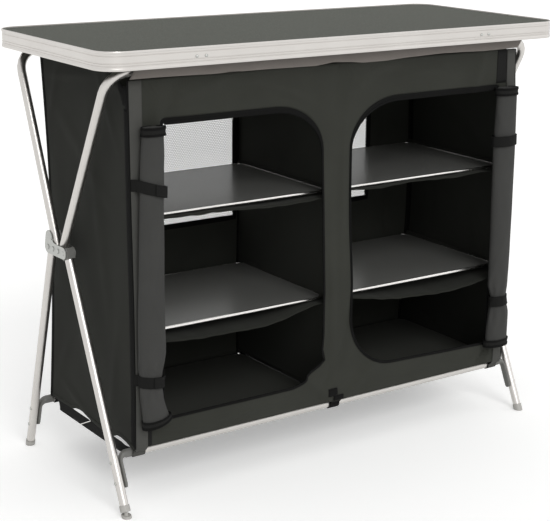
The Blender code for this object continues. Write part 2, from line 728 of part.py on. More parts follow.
def build_lower_frames():
    """Front legs fixed to the hubs, rear legs hinged there, and the bars, elbows and feet on them."""
    rear_pivot = Vector((0.0, *REAR_PIVOT))
    screwed = SCREW_LIFT + PAD_T
    for rear, name, origin in ((False, "front", ORIGIN), (True, "rear", rear_pivot)):
        along, floor_y = foot_axis(rear)
        bar_y = floor_y + along.y / along.z * LOW_BAR_Z
        for side in SIDES:
            lifted = screwed if side < 0 and not rear else 0.0
            leg = add_part("lower_leg_" + name + "_" + SIDE_NAMES[side],
                           [lower_leg(side, rear, lifted + CAP_FLOOR + GAP)],
                           "aluminium", origin, smooth=True)
            if rear:
                carve(leg, pin_holes(side, (REAR_PIVOT,))[0])
            add_part("elbow_" + name + "_" + SIDE_NAMES[side], [elbow(side, rear)], "grey_plastic",
                     origin, smooth=True)
            cap = end_cap(side, rear, lifted, STEM_HOLE_R if lifted else 0.0)
            add_part("foot_" + name + "_" + SIDE_NAMES[side], [cap], "pale_plastic", origin, smooth=True)
        add_part("low_bar_" + name, [cross_bar(bar_y, LOW_BAR_Z, LOW_BAR_END)], "aluminium", origin,
                 smooth=True)
    along, floor_y = foot_axis(False)
    profile = ((PAD_R, 0.0), (PAD_R, PAD_T), (STEM_R, PAD_T), (STEM_R, STEM_L))
    base = Vector((-LEG_X, floor_y, 0.0))
    add_part("levelling_foot", [revolve(base, along, profile, TUBE_SIDES, levels=(0.0, PAD_T, PAD_T))],
             "pale_plastic", base, smooth=True)


def folded_pole(name):
    """The axis (y, z) about which a level of boards turns from the shelf into the folded slab."""
    start_y = (SHELF_FRONT_Y + SHELF_BACK_Y) / 2
    start_z = SHELF_Z[name] + SHELF_T / 2
    lean = math.radians(SLAB_ANGLE)
    up_slab, off_slab = SLAB_PLACE[name]
    end_y = up_slab * math.sin(lean) + off_slab * math.cos(lean)
    end_z = up_slab * math.cos(lean) - off_slab * math.sin(lean)
    shift_y = end_y - start_y
    shift_z = end_z - start_z
    scale = 1 / math.tan(math.radians(BOARD_TURN / 2)) / 2
    return Vector((0.0, start_y + shift_y / 2 - shift_z * scale,
                   start_z + shift_z / 2 + shift_y * scale))


def build_boards():
    """Three levels of paired shelf boards."""
    half_y = (SHELF_BACK_Y - SHELF_FRONT_Y) / 2
    middle_y = (SHELF_BACK_Y + SHELF_FRONT_Y) / 2
    for name, low_z in SHELF_Z.items():
        for side in SIDES:
            near = MIDDLE_X + side * SHELF_MIDDLE_GAP
            middle_x = (near + side * SHELF_OUT_X) / 2
            width = abs(side * SHELF_OUT_X - near) / 2
            outline = rounded_outline(width, half_y, SHELF_CORNER, CORNER_STEPS // 2)
            add_part("board_" + name + "_" + SIDE_NAMES[side],
                     [slab(outline, low_z, low_z + SHELF_T, middle_x, middle_y)], "shelf_board",
                     folded_pole(name))


def front_y(x, z):
    """Depth of the front cloth, with shallow upright waves that die out at its edges."""
    low = (z - HEM_Z) / (PANEL_TOP_Z - HEM_Z)
    fade = max(math.sin(math.pi * min(max(low, 0.0), 1.0)), 0.0)
    reach = min(max((DOOR_EDGE_X - abs(x)) / WAVE_LENGTH, 0.0), 1.0)
    return FRONT_Y - WAVE * fade * reach * math.sin(math.tau * (x + z / 2) / WAVE_LENGTH)


def back_y(x, z):
    """Depth of the back cloth, pulled inward near its side seams."""
    low = (z - HEM_Z) / (CLOTH_TOP_Z - HEM_Z)
    bow = math.sin(math.pi * min(max(low, 0.0), 1.0))
    return BACK_Y - BACK_BOW * bow * (abs(x) / CAB_HALF_W) ** BOW_POWER


def door_outline(side):
    """The opening for one door as four runs of (x, z) points, each from corner to corner."""
    outer = side * DOOR_EDGE_X
    inner = MIDDLE_X + side * DOOR_MIDDLE_GAP
    width, height = SILL_ARC[side]
    corners = [
        (inner, DOOR_SILL_Z, width, height, inner, outer, 1),
        (outer, DOOR_SILL_Z, DOOR_SQUARE_R, DOOR_SQUARE_R, outer, inner, 1),
        (outer, DOOR_HEAD_Z, DOOR_SQUARE_R, DOOR_SQUARE_R, outer, inner, -1),
        (inner, DOOR_HEAD_Z, HEAD_ARC_W, HEAD_ARC_H, inner, outer, -1),
    ]
    arcs = []
    for x, z, w, h, near, far, rise in corners:
        toward = math.copysign(1.0, far - near)
        centre = (x + toward * w, z + rise * h)
        arcs.append([(centre[0] - toward * w * math.cos(math.radians(90.0 * k / 8)),
                      centre[1] - rise * h * math.sin(math.radians(90.0 * k / 8)))
                     for k in range(9)])
    sill_in, sill_out, head_out, head_in = arcs
    runs = [sill_in[4:] + sill_out[4:][::-1], sill_out[:5][::-1] + head_out[:5],
            head_out[4:] + head_in[4:][::-1], head_in[:5][::-1] + sill_in[:5]]
    return [even_run(run, SIDE_POINTS) for run in runs]


def even_run(points, count):
    """Resamples an open run of points to count equal steps, without its last point."""
    lengths = [0.0]
    for a, b in zip(points, points[1:]):
        lengths.append(lengths[-1] + math.dist(a, b))
    table_x = list(zip(lengths, (p[0] for p in points)))
    table_z = list(zip(lengths, (p[1] for p in points)))
    clean_x = [row for k, row in enumerate(table_x) if k == 0 or row[0] > table_x[k - 1][0]]
    clean_z = [row for k, row in enumerate(table_z) if k == 0 or row[0] > table_z[k - 1][0]]
    steps = [lengths[-1] * i / count for i in range(count)]
    return [(between(clean_x, s), between(clean_z, s)) for s in steps]


def build_front():
    """The front cloth with its two door openings, and the light band above it."""
    points = []
    index = {}
    quads = []

    def point_at(x, z):
        key = (round(x, 6), round(z, 6))
        if key not in index:
            index[key] = len(points)
            points.append(Vector((x, front_y(x, z), z)))
        return index[key]

    for side in SIDES:
        runs = door_outline(side)
        hole = [p for run in runs for p in run]
        inner, outer = MIDDLE_X, side * CAB_HALF_W
        corners = [(inner, HEM_Z), (outer, HEM_Z), (outer, PANEL_TOP_Z), (inner, PANEL_TOP_Z)]
        edge = []
        for a, b in zip(corners, corners[1:] + corners[:1]):
            for i in range(SIDE_POINTS):
                share = i / SIDE_POINTS
                edge.append((a[0] + (b[0] - a[0]) * share, a[1] + (b[1] - a[1]) * share))
        loops = []
        for k in range(RING_STEPS + 1):
            share = k / RING_STEPS
            loops.append([(h[0] + (e[0] - h[0]) * share, h[1] + (e[1] - h[1]) * share)
                          for h, e in zip(hole, edge)])
        for near, far in zip(loops, loops[1:]):
            for i in range(len(near)):
                j = (i + 1) % len(near)
                quad = tuple(point_at(*q) for q in (near[i], near[j], far[j], far[i]))
                quads.append(quad if side > 0 else tuple(reversed(quad)))
    add_part("front_panel", [thick_skin(points, quads, BACK, CLOTH_T)], "front_cloth")

    rise = BAND_TOP_Z - BAND_LOW_Z
    band = grid_skin(spread(-1.0, 1.0, 13), (0.0, 1.0),
                     lambda u, v: Vector((u * (BAND_HALF_W - BAND_SLANT * (1.0 - v)), BAND_Y,
                                          BAND_LOW_Z + rise * v)), BACK, CLOTH_T)
    add_part("top_band", [band], "band_cloth")


def build_sides_and_back():
    """The side walls, the back wall with its mesh windows and the wall in the middle."""
    rows = spread(0.0, 1.0, 12)
    front = FRONT_Y + CLOTH_T
    columns = [front, NOTCH_Y - NOTCH_STEP] + spread(NOTCH_Y, BACK_Y, 9)
    for side in SIDES:
        def side_point(y, v):
            top = CLOTH_TOP_Z - (NOTCH_DROP if y < NOTCH_Y else 0.0)
            share = (y - front) / (BACK_Y - front)
            low = HEM_Z + HEM_RISE * between(HEM_SHARES, share)
            z = low + (top - low) * v
            depth = front + (back_y(CAB_HALF_W, z) - CLOTH_T - front) * share
            puff = WAVE * math.sin(math.pi * v) * (1.0 + math.sin(math.tau * y / WAVE_LENGTH + 4.0 * v))
            fade = math.sin(math.pi * min(max(share, 0.0), 1.0))
            return Vector((side * (SIDE_X + puff * fade), depth, z))
        add_part("side_panel_" + SIDE_NAMES[side],
                 [grid_skin(columns, rows, side_point, RIGHT, CLOTH_T)], "dark_cloth")

    def in_window(x, z):
        return MESH_IN_X < abs(x) < MESH_OUT_X and MESH_LOW_Z < z < MESH_TOP_Z

    half = spread(MESH_IN_X, MESH_OUT_X, 5)
    half += [MESH_OUT_X + (CAB_HALF_W - MESH_OUT_X) * share for share in BOW_SHARES]
    columns = [-x for x in reversed(half)] + half
    rows = spread(HEM_Z, MESH_LOW_Z, 5) + spread(MESH_LOW_Z, MESH_TOP_Z, 4)[1:] + \
        spread(MESH_TOP_Z, CLOTH_TOP_Z, 3)[1:]
    back = grid_skin(columns, rows, lambda x, z: Vector((x, back_y(x, z), z)), BACK, CLOTH_T, in_window)
    add_part("back_panel", [back], "dark_cloth")
    for side in SIDES:
        low, high = sorted((side * (MESH_IN_X + GAP), side * (MESH_OUT_X - GAP)))
        net = grid_skin(spread(low, high, 5), spread(MESH_LOW_Z + GAP, MESH_TOP_Z - GAP, 4),
                        lambda x, z: Vector((x, back_y(x, z), z)), BACK, MESH_T)
        add_part("mesh_window_" + SIDE_NAMES[side], [net], "window_mesh")

    wall_front = FRONT_Y + CLOTH_T + WAVE
    wall_back = BACK_Y - CLOTH_T

    def wall_point(y, z):
        return Vector((MIDDLE_X, y, z))

    top = TOP_BAR_Z - TUBE_R - RUN
    wall = grid_skin(spread(wall_front, wall_back, 7), spread(HEM_Z + CLOTH_T + DIVIDER_LIFT, top, 9),
                     wall_point, RIGHT, CLOTH_T)
    add_part("centre_divider", [wall], "dark_cloth")


def build_slings():
    """Cloth slings under the shelf boards, which sag between their side seams, and the cloth floor."""
    rows = spread(SLING_FRONT_Y, SLING_BACK_Y, 7)
    for name, low_z in SHELF_Z.items():
        for side in SIDES if name != "floor" else (0,):
            columns, place = sling_shape(low_z - GAP - CLOTH_T, SHELF_SAG[name], side)
            end = "_" + SIDE_NAMES[side] if side else ""
            add_part("sling_" + name + end, [grid_skin(columns, rows, place, UP, CLOTH_T)], "dark_cloth")


def sling_shape(flat_z, sag, side):
    """Columns and point rule of one sling; side 0 is the floor, which is one cloth across both halves."""
    seam_x = SIDE_X - CLOTH_T / 2 - GAP
    bounds = []
    for end in SIDES if not side else (side,):
        near = MIDDLE_X + end * SHELF_MIDDLE_GAP
        bounds.append((min(near, end * SHELF_OUT_X), max(near, end * SHELF_OUT_X)))
    columns = [x for low, high in bounds for x in spread(low, high, SLING_POINTS)]
    if side:
        columns += [MIDDLE_X + side * (CLOTH_T / 2 + GAP), side * seam_x]
    else:
        columns += [-seam_x, seam_x]
    columns.sort()

    def place(x, y):
        back_share = (y - SLING_FRONT_Y) / (SLING_BACK_Y - SLING_FRONT_Y)
        slack = 1.0 - back_share if side else math.sin(math.pi * back_share)
        z = flat_z
        over_board = False
        for low, high in bounds:
            across = (2 * x - low - high) / (high - low)
            if abs(across) <= 1.0 + GAP:
                over_board = True
                z -= sag * max(1.0 - across ** 2, 0.0) * slack
        if side and not over_board:
            z += SLING_LIFT
        return Vector((x, min(y, back_y(x, z) - SLING_BACK_GAP), z))

    return columns, place


def roll_size(z):
    """Half width of a rolled door at a height: drawn in at its two ties and rounded at its ends."""
    size = ROLL_HALF_W
    for tie in ROLL_STRAP_Z:
        size *= 1.0 - ROLL_PINCH * math.exp(-((z - tie) / ROLL_STRAP_W) ** 2)
    return size


def build_doors():
    """The two doors, rolled up beside their openings."""
    for side in SIDES:
        top_x, low_x = ROLL_X[side]

        def ring(z, shrink=1.0):
            share = (ROLL_TOP_Z - z) / (ROLL_TOP_Z - ROLL_LOW_Z)
            centre = Vector((top_x + (low_x - top_x) * share, ROLL_Y, z))
            half_w = roll_size(z) * shrink
            half_t = ROLL_HALF_T * roll_size(z) / ROLL_HALF_W * shrink
            turns = [math.tau * i / ROLL_SIDES for i in range(ROLL_SIDES)]
            return [centre + Vector((half_w * math.cos(t), half_t * math.sin(t), 0.0)) for t in turns]

        levels = spread(ROLL_LOW_Z, ROLL_TOP_Z, ROLL_RINGS)
        levels = sorted(levels + [t + s * ROLL_STRAP_W / 2 for t in ROLL_STRAP_Z for s in SIDES])
        rings = [ring(z) for z in levels]
        rings = [ring(levels[0] - CLOTH_T, ROLL_END)] + rings + [ring(levels[-1] + CLOTH_T, ROLL_END)]
        add_part("door_roll_" + SIDE_NAMES[side], [rings_solid(rings)], "front_cloth", smooth=True)


def bar_loop(middle_x, y, width):
    """A webbing loop sewn round a lower bar."""
    half = width / 2
    rings = []
    for radius, x in ((LOOP_R, middle_x - half), (LOOP_R, middle_x + half),
                      (LOOP_BORE, middle_x + half), (LOOP_BORE, middle_x - half)):
        rings.append(circle_ring(Vector((x, y, LOW_BAR_Z)), BACK, UP, radius, TUBE_SIDES))
    return rings_solid(rings, closed=True)


def build_webbing():
    """The middle loop on the front bar and the spreader webbing that joins the bars along each side."""
    front_bar_y = -FOOT_Y + FRONT_SLOPE * LOW_BAR_Z
    rear_bar_y = FOOT_Y + REAR_SLOPE * LOW_BAR_Z
    add_part("bar_loop_middle", [bar_loop(LOOP_MIDDLE_X, front_bar_y, LOOP_MIDDLE_W)], "black_webbing",
             smooth=True)
    half_t = CLOTH_T / 2
    open_angle = math.degrees(math.asin(half_t / LOOP_R))
    front = arc_points((front_bar_y, WEB_Z), LOOP_R, open_angle, 360.0 - open_angle, LOOP_STEPS)
    rear = arc_points((rear_bar_y, WEB_Z), LOOP_R, 180.0 + open_angle, 540.0 - open_angle, LOOP_STEPS)
    middle_y = (front_bar_y + rear_bar_y) / 2
    reach = (rear_bar_y - front_bar_y) / 2 - LOOP_R
    stations = spread(middle_y - reach, middle_y + reach, 13)[1:-1]
    sagged = [(y, WEB_Z - WEB_SAG * (1.0 - ((y - middle_y) / reach) ** 2)) for y in stations]
    outline = front + [(y, z - half_t) for y, z in sagged] + rear
    outline += [(y, z + half_t) for y, z in reversed(sagged)]
    for side in SIDES:
        low, high = side * WEB_X - WEB_W / 2, side * WEB_X + WEB_W / 2
        web = add_part("side_webbing_" + SIDE_NAMES[side], [prism(outline, low, high)], "black_webbing")
        for y in (front_bar_y, rear_bar_y):
            path = [Vector((low - WEB_W, y, WEB_Z)), Vector((high + WEB_W, y, WEB_Z))]
            carve(web, rod(path, BACK, (LOOP_BORE, LOOP_BORE), TUBE_SIDES))


def main():
    """Builds every subcomponent in order."""
    clear_scene()
    build_worktop()
    build_upper_frames()
    build_hubs()
    build_lower_frames()
    build_boards()
    build_front()
    build_sides_and_back()
    build_slings()
    build_doors()
    build_webbing()


main()
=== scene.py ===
# %% [markdown]
# # A folding camping kitchen
# The real object is a light table with a cloth cabinet hung under it. Bent aluminium tubes carry a
# laminated board in an aluminium rim, flat steel hubs let the legs fold, and polyester walls with
# six loose boards make the shelves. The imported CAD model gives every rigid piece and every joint.
# It could all be modelled again here, but then the looks would drift from the mechanism, so this
# script loads that frame first and only dresses it.

# %% Load the frame
import math

import bmesh
import bpy
import numpy as np
from mathutils import Matrix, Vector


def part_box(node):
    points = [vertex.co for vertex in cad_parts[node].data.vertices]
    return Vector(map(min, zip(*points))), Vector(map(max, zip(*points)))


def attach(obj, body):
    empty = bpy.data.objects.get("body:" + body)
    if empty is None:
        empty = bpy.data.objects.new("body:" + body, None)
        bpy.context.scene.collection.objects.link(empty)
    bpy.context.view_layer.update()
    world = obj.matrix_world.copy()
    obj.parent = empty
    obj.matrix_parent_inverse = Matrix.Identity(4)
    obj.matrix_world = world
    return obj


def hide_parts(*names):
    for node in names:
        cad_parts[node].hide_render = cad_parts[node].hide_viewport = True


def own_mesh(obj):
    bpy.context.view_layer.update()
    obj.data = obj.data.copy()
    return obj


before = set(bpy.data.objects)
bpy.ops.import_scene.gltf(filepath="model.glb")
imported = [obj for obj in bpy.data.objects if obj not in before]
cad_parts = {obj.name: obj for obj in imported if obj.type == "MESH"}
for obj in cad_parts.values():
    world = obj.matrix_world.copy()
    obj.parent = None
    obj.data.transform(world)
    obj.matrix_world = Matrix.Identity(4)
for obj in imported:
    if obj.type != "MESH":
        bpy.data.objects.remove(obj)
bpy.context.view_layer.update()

# %% [markdown]
# ## Camera
# A photograph fixes its own camera. Known lengths of the table, such as its 1 m width, were set
# against their places in the picture, and least squares gave the yaw, the pitch, a slight roll, the
# place and a focal length in pixels. A lens in millimetres is that length times the sensor width
# over the picture width. A camera can also be aimed by eye, but then the edges never quite line up.

# %% Camera
IMAGE_W = 550
SENSOR_MM = 36.0
FOCAL_PX = 1418.0
CAMERA_PLACE = (-1.544, -2.177, 1.091)
YAW, PITCH, ROLL = np.radians((-34.91, 15.58, 0.70))


def camera_axes():
    """Back comes from yaw and pitch, right is level, and both others turn about back by the roll."""
    back = np.array((math.sin(YAW) * math.cos(PITCH), -math.cos(YAW) * math.cos(PITCH), math.sin(PITCH)))
    level = np.cross((0.0, 0.0, 1.0), back)
    level /= np.linalg.norm(level)
    right = math.cos(ROLL) * level + math.sin(ROLL) * np.cross(back, level)
    return np.stack((right, np.cross(back, right), back), axis=1)


camera = bpy.data.objects.new("camera", bpy.data.cameras.new("camera"))
bpy.context.scene.collection.objects.link(camera)
bpy.context.scene.camera = camera
camera.data.sensor_width = SENSOR_MM
camera.data.lens = FOCAL_PX * SENSOR_MM / IMAGE_W
placing = np.eye(4)
placing[:3, :3] = camera_axes()
placing[:3, 3] = CAMERA_PLACE
camera.matrix_world = Matrix(placing)
print("lens:", round(camera.data.lens, 1), "mm")

# %% [markdown]
# ## Colours and nodes
# Colours are given as sRGB hex values, while Blender's sockets hold linear light, so one
# function turns the first into the second. A second function adds any shader node with its settings
# and links, and a third starts a material. Longer scripts often grow a function for each kind of
# node, but then each new look needs a new function.


# %% Helpers for materials
def linear(text):
    """sRGB to linear: small values over 12.92, the others ((value + 0.055) / 1.055) to the power 2.4."""
    value = np.array([int(text[i:i + 2], 16) for i in (1, 3, 5)]) / 255
    return (*np.where(value <= 0.04045, value / 12.92, ((value + 0.055) / 1.055) ** 2.4), 1.0)


def add_node(tree, kind, settings=(), links=()):
    """Adds a node; settings are (property, value) pairs and links (input, value or socket) pairs."""
    node = tree.nodes.new("ShaderNode" + kind)
    for name, value in settings:
        setattr(node, name, value)
    for socket, value in links:
        if isinstance(value, bpy.types.NodeSocket):
            tree.links.new(value, node.inputs[socket])
        else:
            node.inputs[socket].default_value = value
    return node


def start_material(name, *sockets):
    """A new material; sockets are (name, value) pairs set on the shader itself."""
    material = bpy.data.materials.new(name)
    material.use_nodes = True
    shader = material.node_tree.nodes["Principled BSDF"]
    for socket, value in sockets:
        shader.inputs[socket].default_value = value
    return material, material.node_tree, shader


MM = 0.001
print("mid grey #808080 is", round(linear("#808080")[0], 3), "in linear light")

# %% [markdown]
# ## Floor, backdrop and light
# The picture is a cut-out on white. A plain pale floor keeps a soft contact shadow, and the world
# behind it is white where the camera, a mirror-like surface or glass looks at it, while it lights
# the table at a plain level. Three-point lighting with hard lamps would draw edges on the cloth that
# the picture doesn't have, so the key light is a broad one.

# %% Floor and world
FLOOR_HALF = 14.0
WORLD_STRENGTH = 0.62
FLOOR_LIFT = 0.29

floor_mesh = bpy.data.meshes.new("studio_floor")
floor_mesh.from_pydata([(x * FLOOR_HALF, y * FLOOR_HALF, 0.0) for x, y in ((-1, -1), (1, -1), (1, 1), (-1, 1))],
                       [], [(0, 1, 2, 3)])
floor = bpy.data.objects.new("studio_floor", floor_mesh)
bpy.context.scene.collection.objects.link(floor)


def seen_directly(tree):
    """One where the camera looks, or looks by way of metal or glass: the greatest of three ray kinds."""
    rays = add_node(tree, "LightPath")
    first = add_node(tree, "Math", [("operation", "MAXIMUM")],
                     [(0, rays.outputs["Is Camera Ray"]), (1, rays.outputs["Is Glossy Ray"])])
    return add_node(tree, "Math", [("operation", "MAXIMUM")],
                    [(0, first.outputs[0]), (1, rays.outputs["Is Transmission Ray"])]).outputs[0]


# The paper renders a little under white, so where it is seen directly the rest is added to it.
paper, tree, shader = start_material("matt_white_paper", ("Roughness", 0.95), ("Specular IOR Level", 0.1),
                                     ("Base Color", linear("#fdfdfc")))
lift = add_node(tree, "Math", [("operation", "MULTIPLY")], [(0, seen_directly(tree)), (1, FLOOR_LIFT)])
glow = add_node(tree, "Emission", (), [("Strength", lift.outputs[0])])
both = add_node(tree, "AddShader", (), [(0, shader.outputs[0]), (1, glow.outputs[0])])
tree.links.new(both.outputs[0], tree.nodes["Material Output"].inputs["Surface"])
floor_mesh.materials.append(paper)

world = bpy.data.worlds.new("studio")
bpy.context.scene.world = world
world.use_nodes = True
tree = world.node_tree
tree.nodes.clear()
lighting = add_node(tree, "Background", (), [("Color", (1.0, 1.0, 1.0, 1.0)), ("Strength", WORLD_STRENGTH)])
backdrop = add_node(tree, "Background", (), [("Color", (1.0, 1.0, 1.0, 1.0)), ("Strength", 1.0)])
mixed = add_node(tree, "MixShader", (),
                 [(0, seen_directly(tree)), (1, lighting.outputs[0]), (2, backdrop.outputs[0])])
output = add_node(tree, "OutputWorld", (), [("Surface", mixed.outputs[0])])

# %% Lamps
LAMPS = {
    # name: (direction the light comes from, angle of its disc in degrees, strength)
    "key_light": ((-0.15, -0.85, 0.60), 30.0, 1.05),
    "fill_light": ((0.9, -0.3, 0.45), 50.0, 0.25),
}
for name, (source, angle, strength) in LAMPS.items():
    lamp = bpy.data.lights.new(name, "SUN")
    lamp.energy = strength
    lamp.angle = math.radians(angle)
    holder = bpy.data.objects.new(name, lamp)
    bpy.context.scene.collection.objects.link(holder)
    away = np.array(source) / np.linalg.norm(source)
    level = np.cross((0.0, 0.0, 1.0), away)
    level /= np.linalg.norm(level)
    turn = np.eye(4)
    turn[:3, :3] = np.stack((level, np.cross(away, level), away), axis=1)
    holder.matrix_world = Matrix(turn)
bpy.context.scene.view_settings.view_transform = "Standard"
print("lamps:", ", ".join(LAMPS))

# %% [markdown]
# ## Surfaces from arrays
# Every new piece is a grid of points: a function of two parameters, or a profile carried along a
# path. Numpy works the whole grid out at once, and one function turns a grid into a mesh with a UV
# map in metres, so that a weave keeps its real size. Modelling by hand would also work, but a
# formula can be read, changed and checked.


# %% Grid to mesh
def flat_map(points):
    """Lengths in metres, added up along each row for u and down each column for v."""
    u = np.zeros(points.shape[:-1])
    v = np.zeros(points.shape[:-1])
    u[..., 1:] = np.cumsum(np.linalg.norm(np.diff(points, axis=-2), axis=-1), axis=-1)
    v[..., 1:, :] = np.cumsum(np.linalg.norm(np.diff(points, axis=-3), axis=-1), axis=-2)
    return np.stack((u, v), axis=-1)


def build(name, points, material, ring=False, loop=False, keep=None, solid=False, sharp=None):
    """A mesh over a (patches, rows, columns, 3) grid of points, one quad in each cell.

    ring joins the last column to the first and loop the last row to the first; keep is true for the
    cells that stay; solid turns a closed shell's faces outwards; sharp is an angle in degrees.
    """
    points = np.asarray(points, float)
    points = points[None] if points.ndim == 3 else points
    if ring:
        points = np.concatenate((points, points[:, :, :1]), axis=2)
    if loop:
        points = np.concatenate((points, points[:, :1]), axis=1)
    patches, rows, columns = points.shape[:3]
    number = np.arange(patches * rows * columns).reshape(patches, rows, columns)
    quads = np.stack((number[:, :-1, :-1], number[:, :-1, 1:], number[:, 1:, 1:], number[:, 1:, :-1]), -1)
    quads = quads.reshape(-1, 4) if keep is None else quads[np.broadcast_to(keep, quads.shape[:3])]
    used, quads = np.unique(quads, return_inverse=True)
    mesh = bpy.data.meshes.new(name)
    mesh.from_pydata(points.reshape(-1, 3)[used].tolist(), [], quads.reshape(-1, 4).tolist())
    layer = mesh.uv_layers.new(name="flat")
    layer.data.foreach_set("uv", flat_map(points).reshape(-1, 2)[used][quads.reshape(-1)].ravel())
    shell = bmesh.new()
    shell.from_mesh(mesh)
    bmesh.ops.remove_doubles(shell, verts=shell.verts, dist=1e-6)
    if solid:
        bmesh.ops.recalc_face_normals(shell, faces=shell.faces)
    shell.to_mesh(mesh)
    shell.free()
    mesh.shade_smooth()
    if sharp is not None:
        mesh.set_sharp_from_angle(angle=math.radians(sharp))
    mesh.materials.append(material)
    piece = bpy.data.objects.new(name, mesh)
    bpy.context.scene.collection.objects.link(piece)
    return piece


def sweep(path, across, out, profile):
    """Carries a (width, height) profile along a path: place + width * across + height * out."""
    path, across, out = (np.asarray(a, float) for a in np.broadcast_arrays(path, across, out))
    profile = np.asarray(profile)
    return (path[:, None] + profile[None, :, :1] * across[:, None] + profile[None, :, 1:] * out[:, None])


def tape_profile(width, thick, low=0.0):
    """The section of a tape, as a rectangle with cut corners standing on height low."""
    half, cut = width / 2, min(thick, width) / 4
    return np.array([(-half, low + cut), (-half + cut, low), (half - cut, low), (half, low + cut),
                     (half, low + thick - cut), (half - cut, low + thick), (-half + cut, low + thick),
                     (-half, low + thick - cut)])


def capped(points):
    """Closes both ends of a swept solid by drawing the end rings in to their middles."""
    ends = [np.broadcast_to(p.mean(axis=0), p.shape)[None] for p in (points[0], points[-1])]
    return np.concatenate((ends[0], points, ends[1]))


def strip(name, path, across, out, width, thick, material, sharp=50):
    """A closed strip along a path, a width broad, with half its thickness to each side."""
    points = capped(sweep(path, across, out, tape_profile(width, thick, -thick / 2)))
    return build(name, points, material, ring=True, solid=True, sharp=sharp)


def thicken(piece, thickness):
    """Gives a skin of cloth its thickness, half to each side."""
    wall = piece.modifiers.new("cloth thickness", "SOLIDIFY")
    wall.thickness = thickness
    wall.offset = 0.0
    return piece


def path_length(points):
    """The sum of the distances between neighbouring points."""
    return float(np.linalg.norm(np.diff(points, axis=0), axis=1).sum())


def cloth_area(piece):
    """The area of a skin's faces, before it is thickened."""
    return sum(face.area for face in piece.data.polygons)


ALONG_X, ALONG_Y, ALONG_Z = np.eye(3)
print("a 20 x 1 mm tape has", len(tape_profile(20 * MM, MM)), "points in its section")

# %% [markdown]
# ## Cloth on the folding frame
# When the worktop tilts to fold the table, the real cloth crumples between the closing frames. It
# has no joint of its own, so each soft piece rides on its body and gets a mesh of its own. A
# simulation for every pose would look richer, but the piece has to be one mesh in every pose.


def fit(piece, body, nodes=(), soft=False):
    """Rides a piece on its body, hides the nodes it stands for, and gives a soft piece a mesh of its own."""
    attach(piece, body)
    if nodes:
        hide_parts(*nodes)
    if soft:
        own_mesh(piece)
    return piece


# %% [markdown]
# ## Metals
# The rim is an anodised aluminium extrusion: satin, pale and drawn along its length, so fine lines
# follow it. The tubes are the same metal drawn round. The hub plates are pressed steel with a dull
# zinc plating that looks slightly cloudy. A picture of brushed metal would do, but noise stretched
# along the drawing direction gives the same look at any distance.


# %% Metal finishes
# Drawing lines are really about 0.1 mm apart, too fine to show, so they are drawn at 0.7 to 3 mm.
# Clouds in the plating and the anodising are as wide as a hand.
CLOUD_MM = 71.4


def drawn_metal(name, colour, roughness, stretch, line_mm, relief_mm):
    """Metal with lines along its drawing direction: noise that is long one way and line_mm the others."""
    material, tree, shader = start_material(name, ("Metallic", 1.0))
    place = add_node(tree, "TexCoord")
    long = add_node(tree, "Mapping", (), [("Vector", place.outputs["Object"]), ("Scale", stretch)])
    lines = add_node(tree, "TexNoise", (), [("Vector", long.outputs[0]), ("Scale", 1.0 / (line_mm * MM)),
                                            ("Detail", 3.0)])
    cloud = add_node(tree, "TexNoise", (), [("Vector", place.outputs["Object"]),
                                            ("Scale", 1.0 / (CLOUD_MM * MM)), ("Detail", 4.0)])
    tone = add_node(tree, "Mix", [("data_type", "RGBA")],
                    [(0, cloud.outputs[0]), (6, linear(colour[0])), (7, linear(colour[1]))])
    tree.links.new(tone.outputs[2], shader.inputs["Base Color"])
    worn = add_node(tree, "MapRange", (), [(0, lines.outputs[0]), (1, 0.3), (2, 0.7),
                                           (3, roughness[0]), (4, roughness[1])])
    tree.links.new(worn.outputs[0], shader.inputs["Roughness"])
    bump = add_node(tree, "Bump", (), [("Strength", 0.5), ("Distance", relief_mm * MM),
                                       ("Height", lines.outputs[0])])
    tree.links.new(bump.outputs[0], shader.inputs["Normal"])
    return material


# Extruded and anodised: pale and even, with fine lines that draw each highlight out lengthwise.
rim_metal = drawn_metal("satin_anodised_extrusion", ("#cbc7c3", "#d6d3cf"), (0.34, 0.46),
                        (0.02, 0.02, 1.0), 0.7, 0.05)
# Drawn through a die: a softer, slightly brighter shine that runs down each tube.
tube_metal = drawn_metal("satin_drawn_aluminium_tube", ("#c6c3bf", "#d3d0cc"), (0.30, 0.42),
                         (1.0, 0.35, 0.06), 1.6, 0.04)
# Pressed and zinc plated: a dull grey with faint clouds and broken reflections.
zinc_metal = drawn_metal("dull_zinc_plated_steel", ("#a9aaa7", "#c2c3bf"), (0.36, 0.52),
                         (1.0, 1.0, 1.0), 3.0, 0.04)
# Rolled thin and left bright: a nearly white line wherever it turns to the light.
edge_metal = drawn_metal("bright_rolled_aluminium_edge", ("#e6e4e1", "#f0eeeb"), (0.18, 0.28),
                         (0.05, 1.0, 1.0), 0.8, 0.02)
print("metals:", rim_metal.name, tube_metal.name, zinc_metal.name, edge_metal.name)

# %% [markdown]
# ## Moulded plastic and laminate
# The elbows, clips and clamps are moulded nylon with a fine spark-eroded grain. The worktop's
# laminate is a grey-green sheet with paler and darker specks, matt enough to write on. The shelves
# carry a smoother dark coating that mirrors the bright mesh windows at a low angle.


# %% Plastic and laminate finishes
# Moulded grain is about 0.1 mm and laminate specks about 0.5 mm, too fine to show, so they are drawn
# at 0.5 to 2.2 mm. Wear comes in patches as wide as a finger is long.
WEAR_MM = 33.3


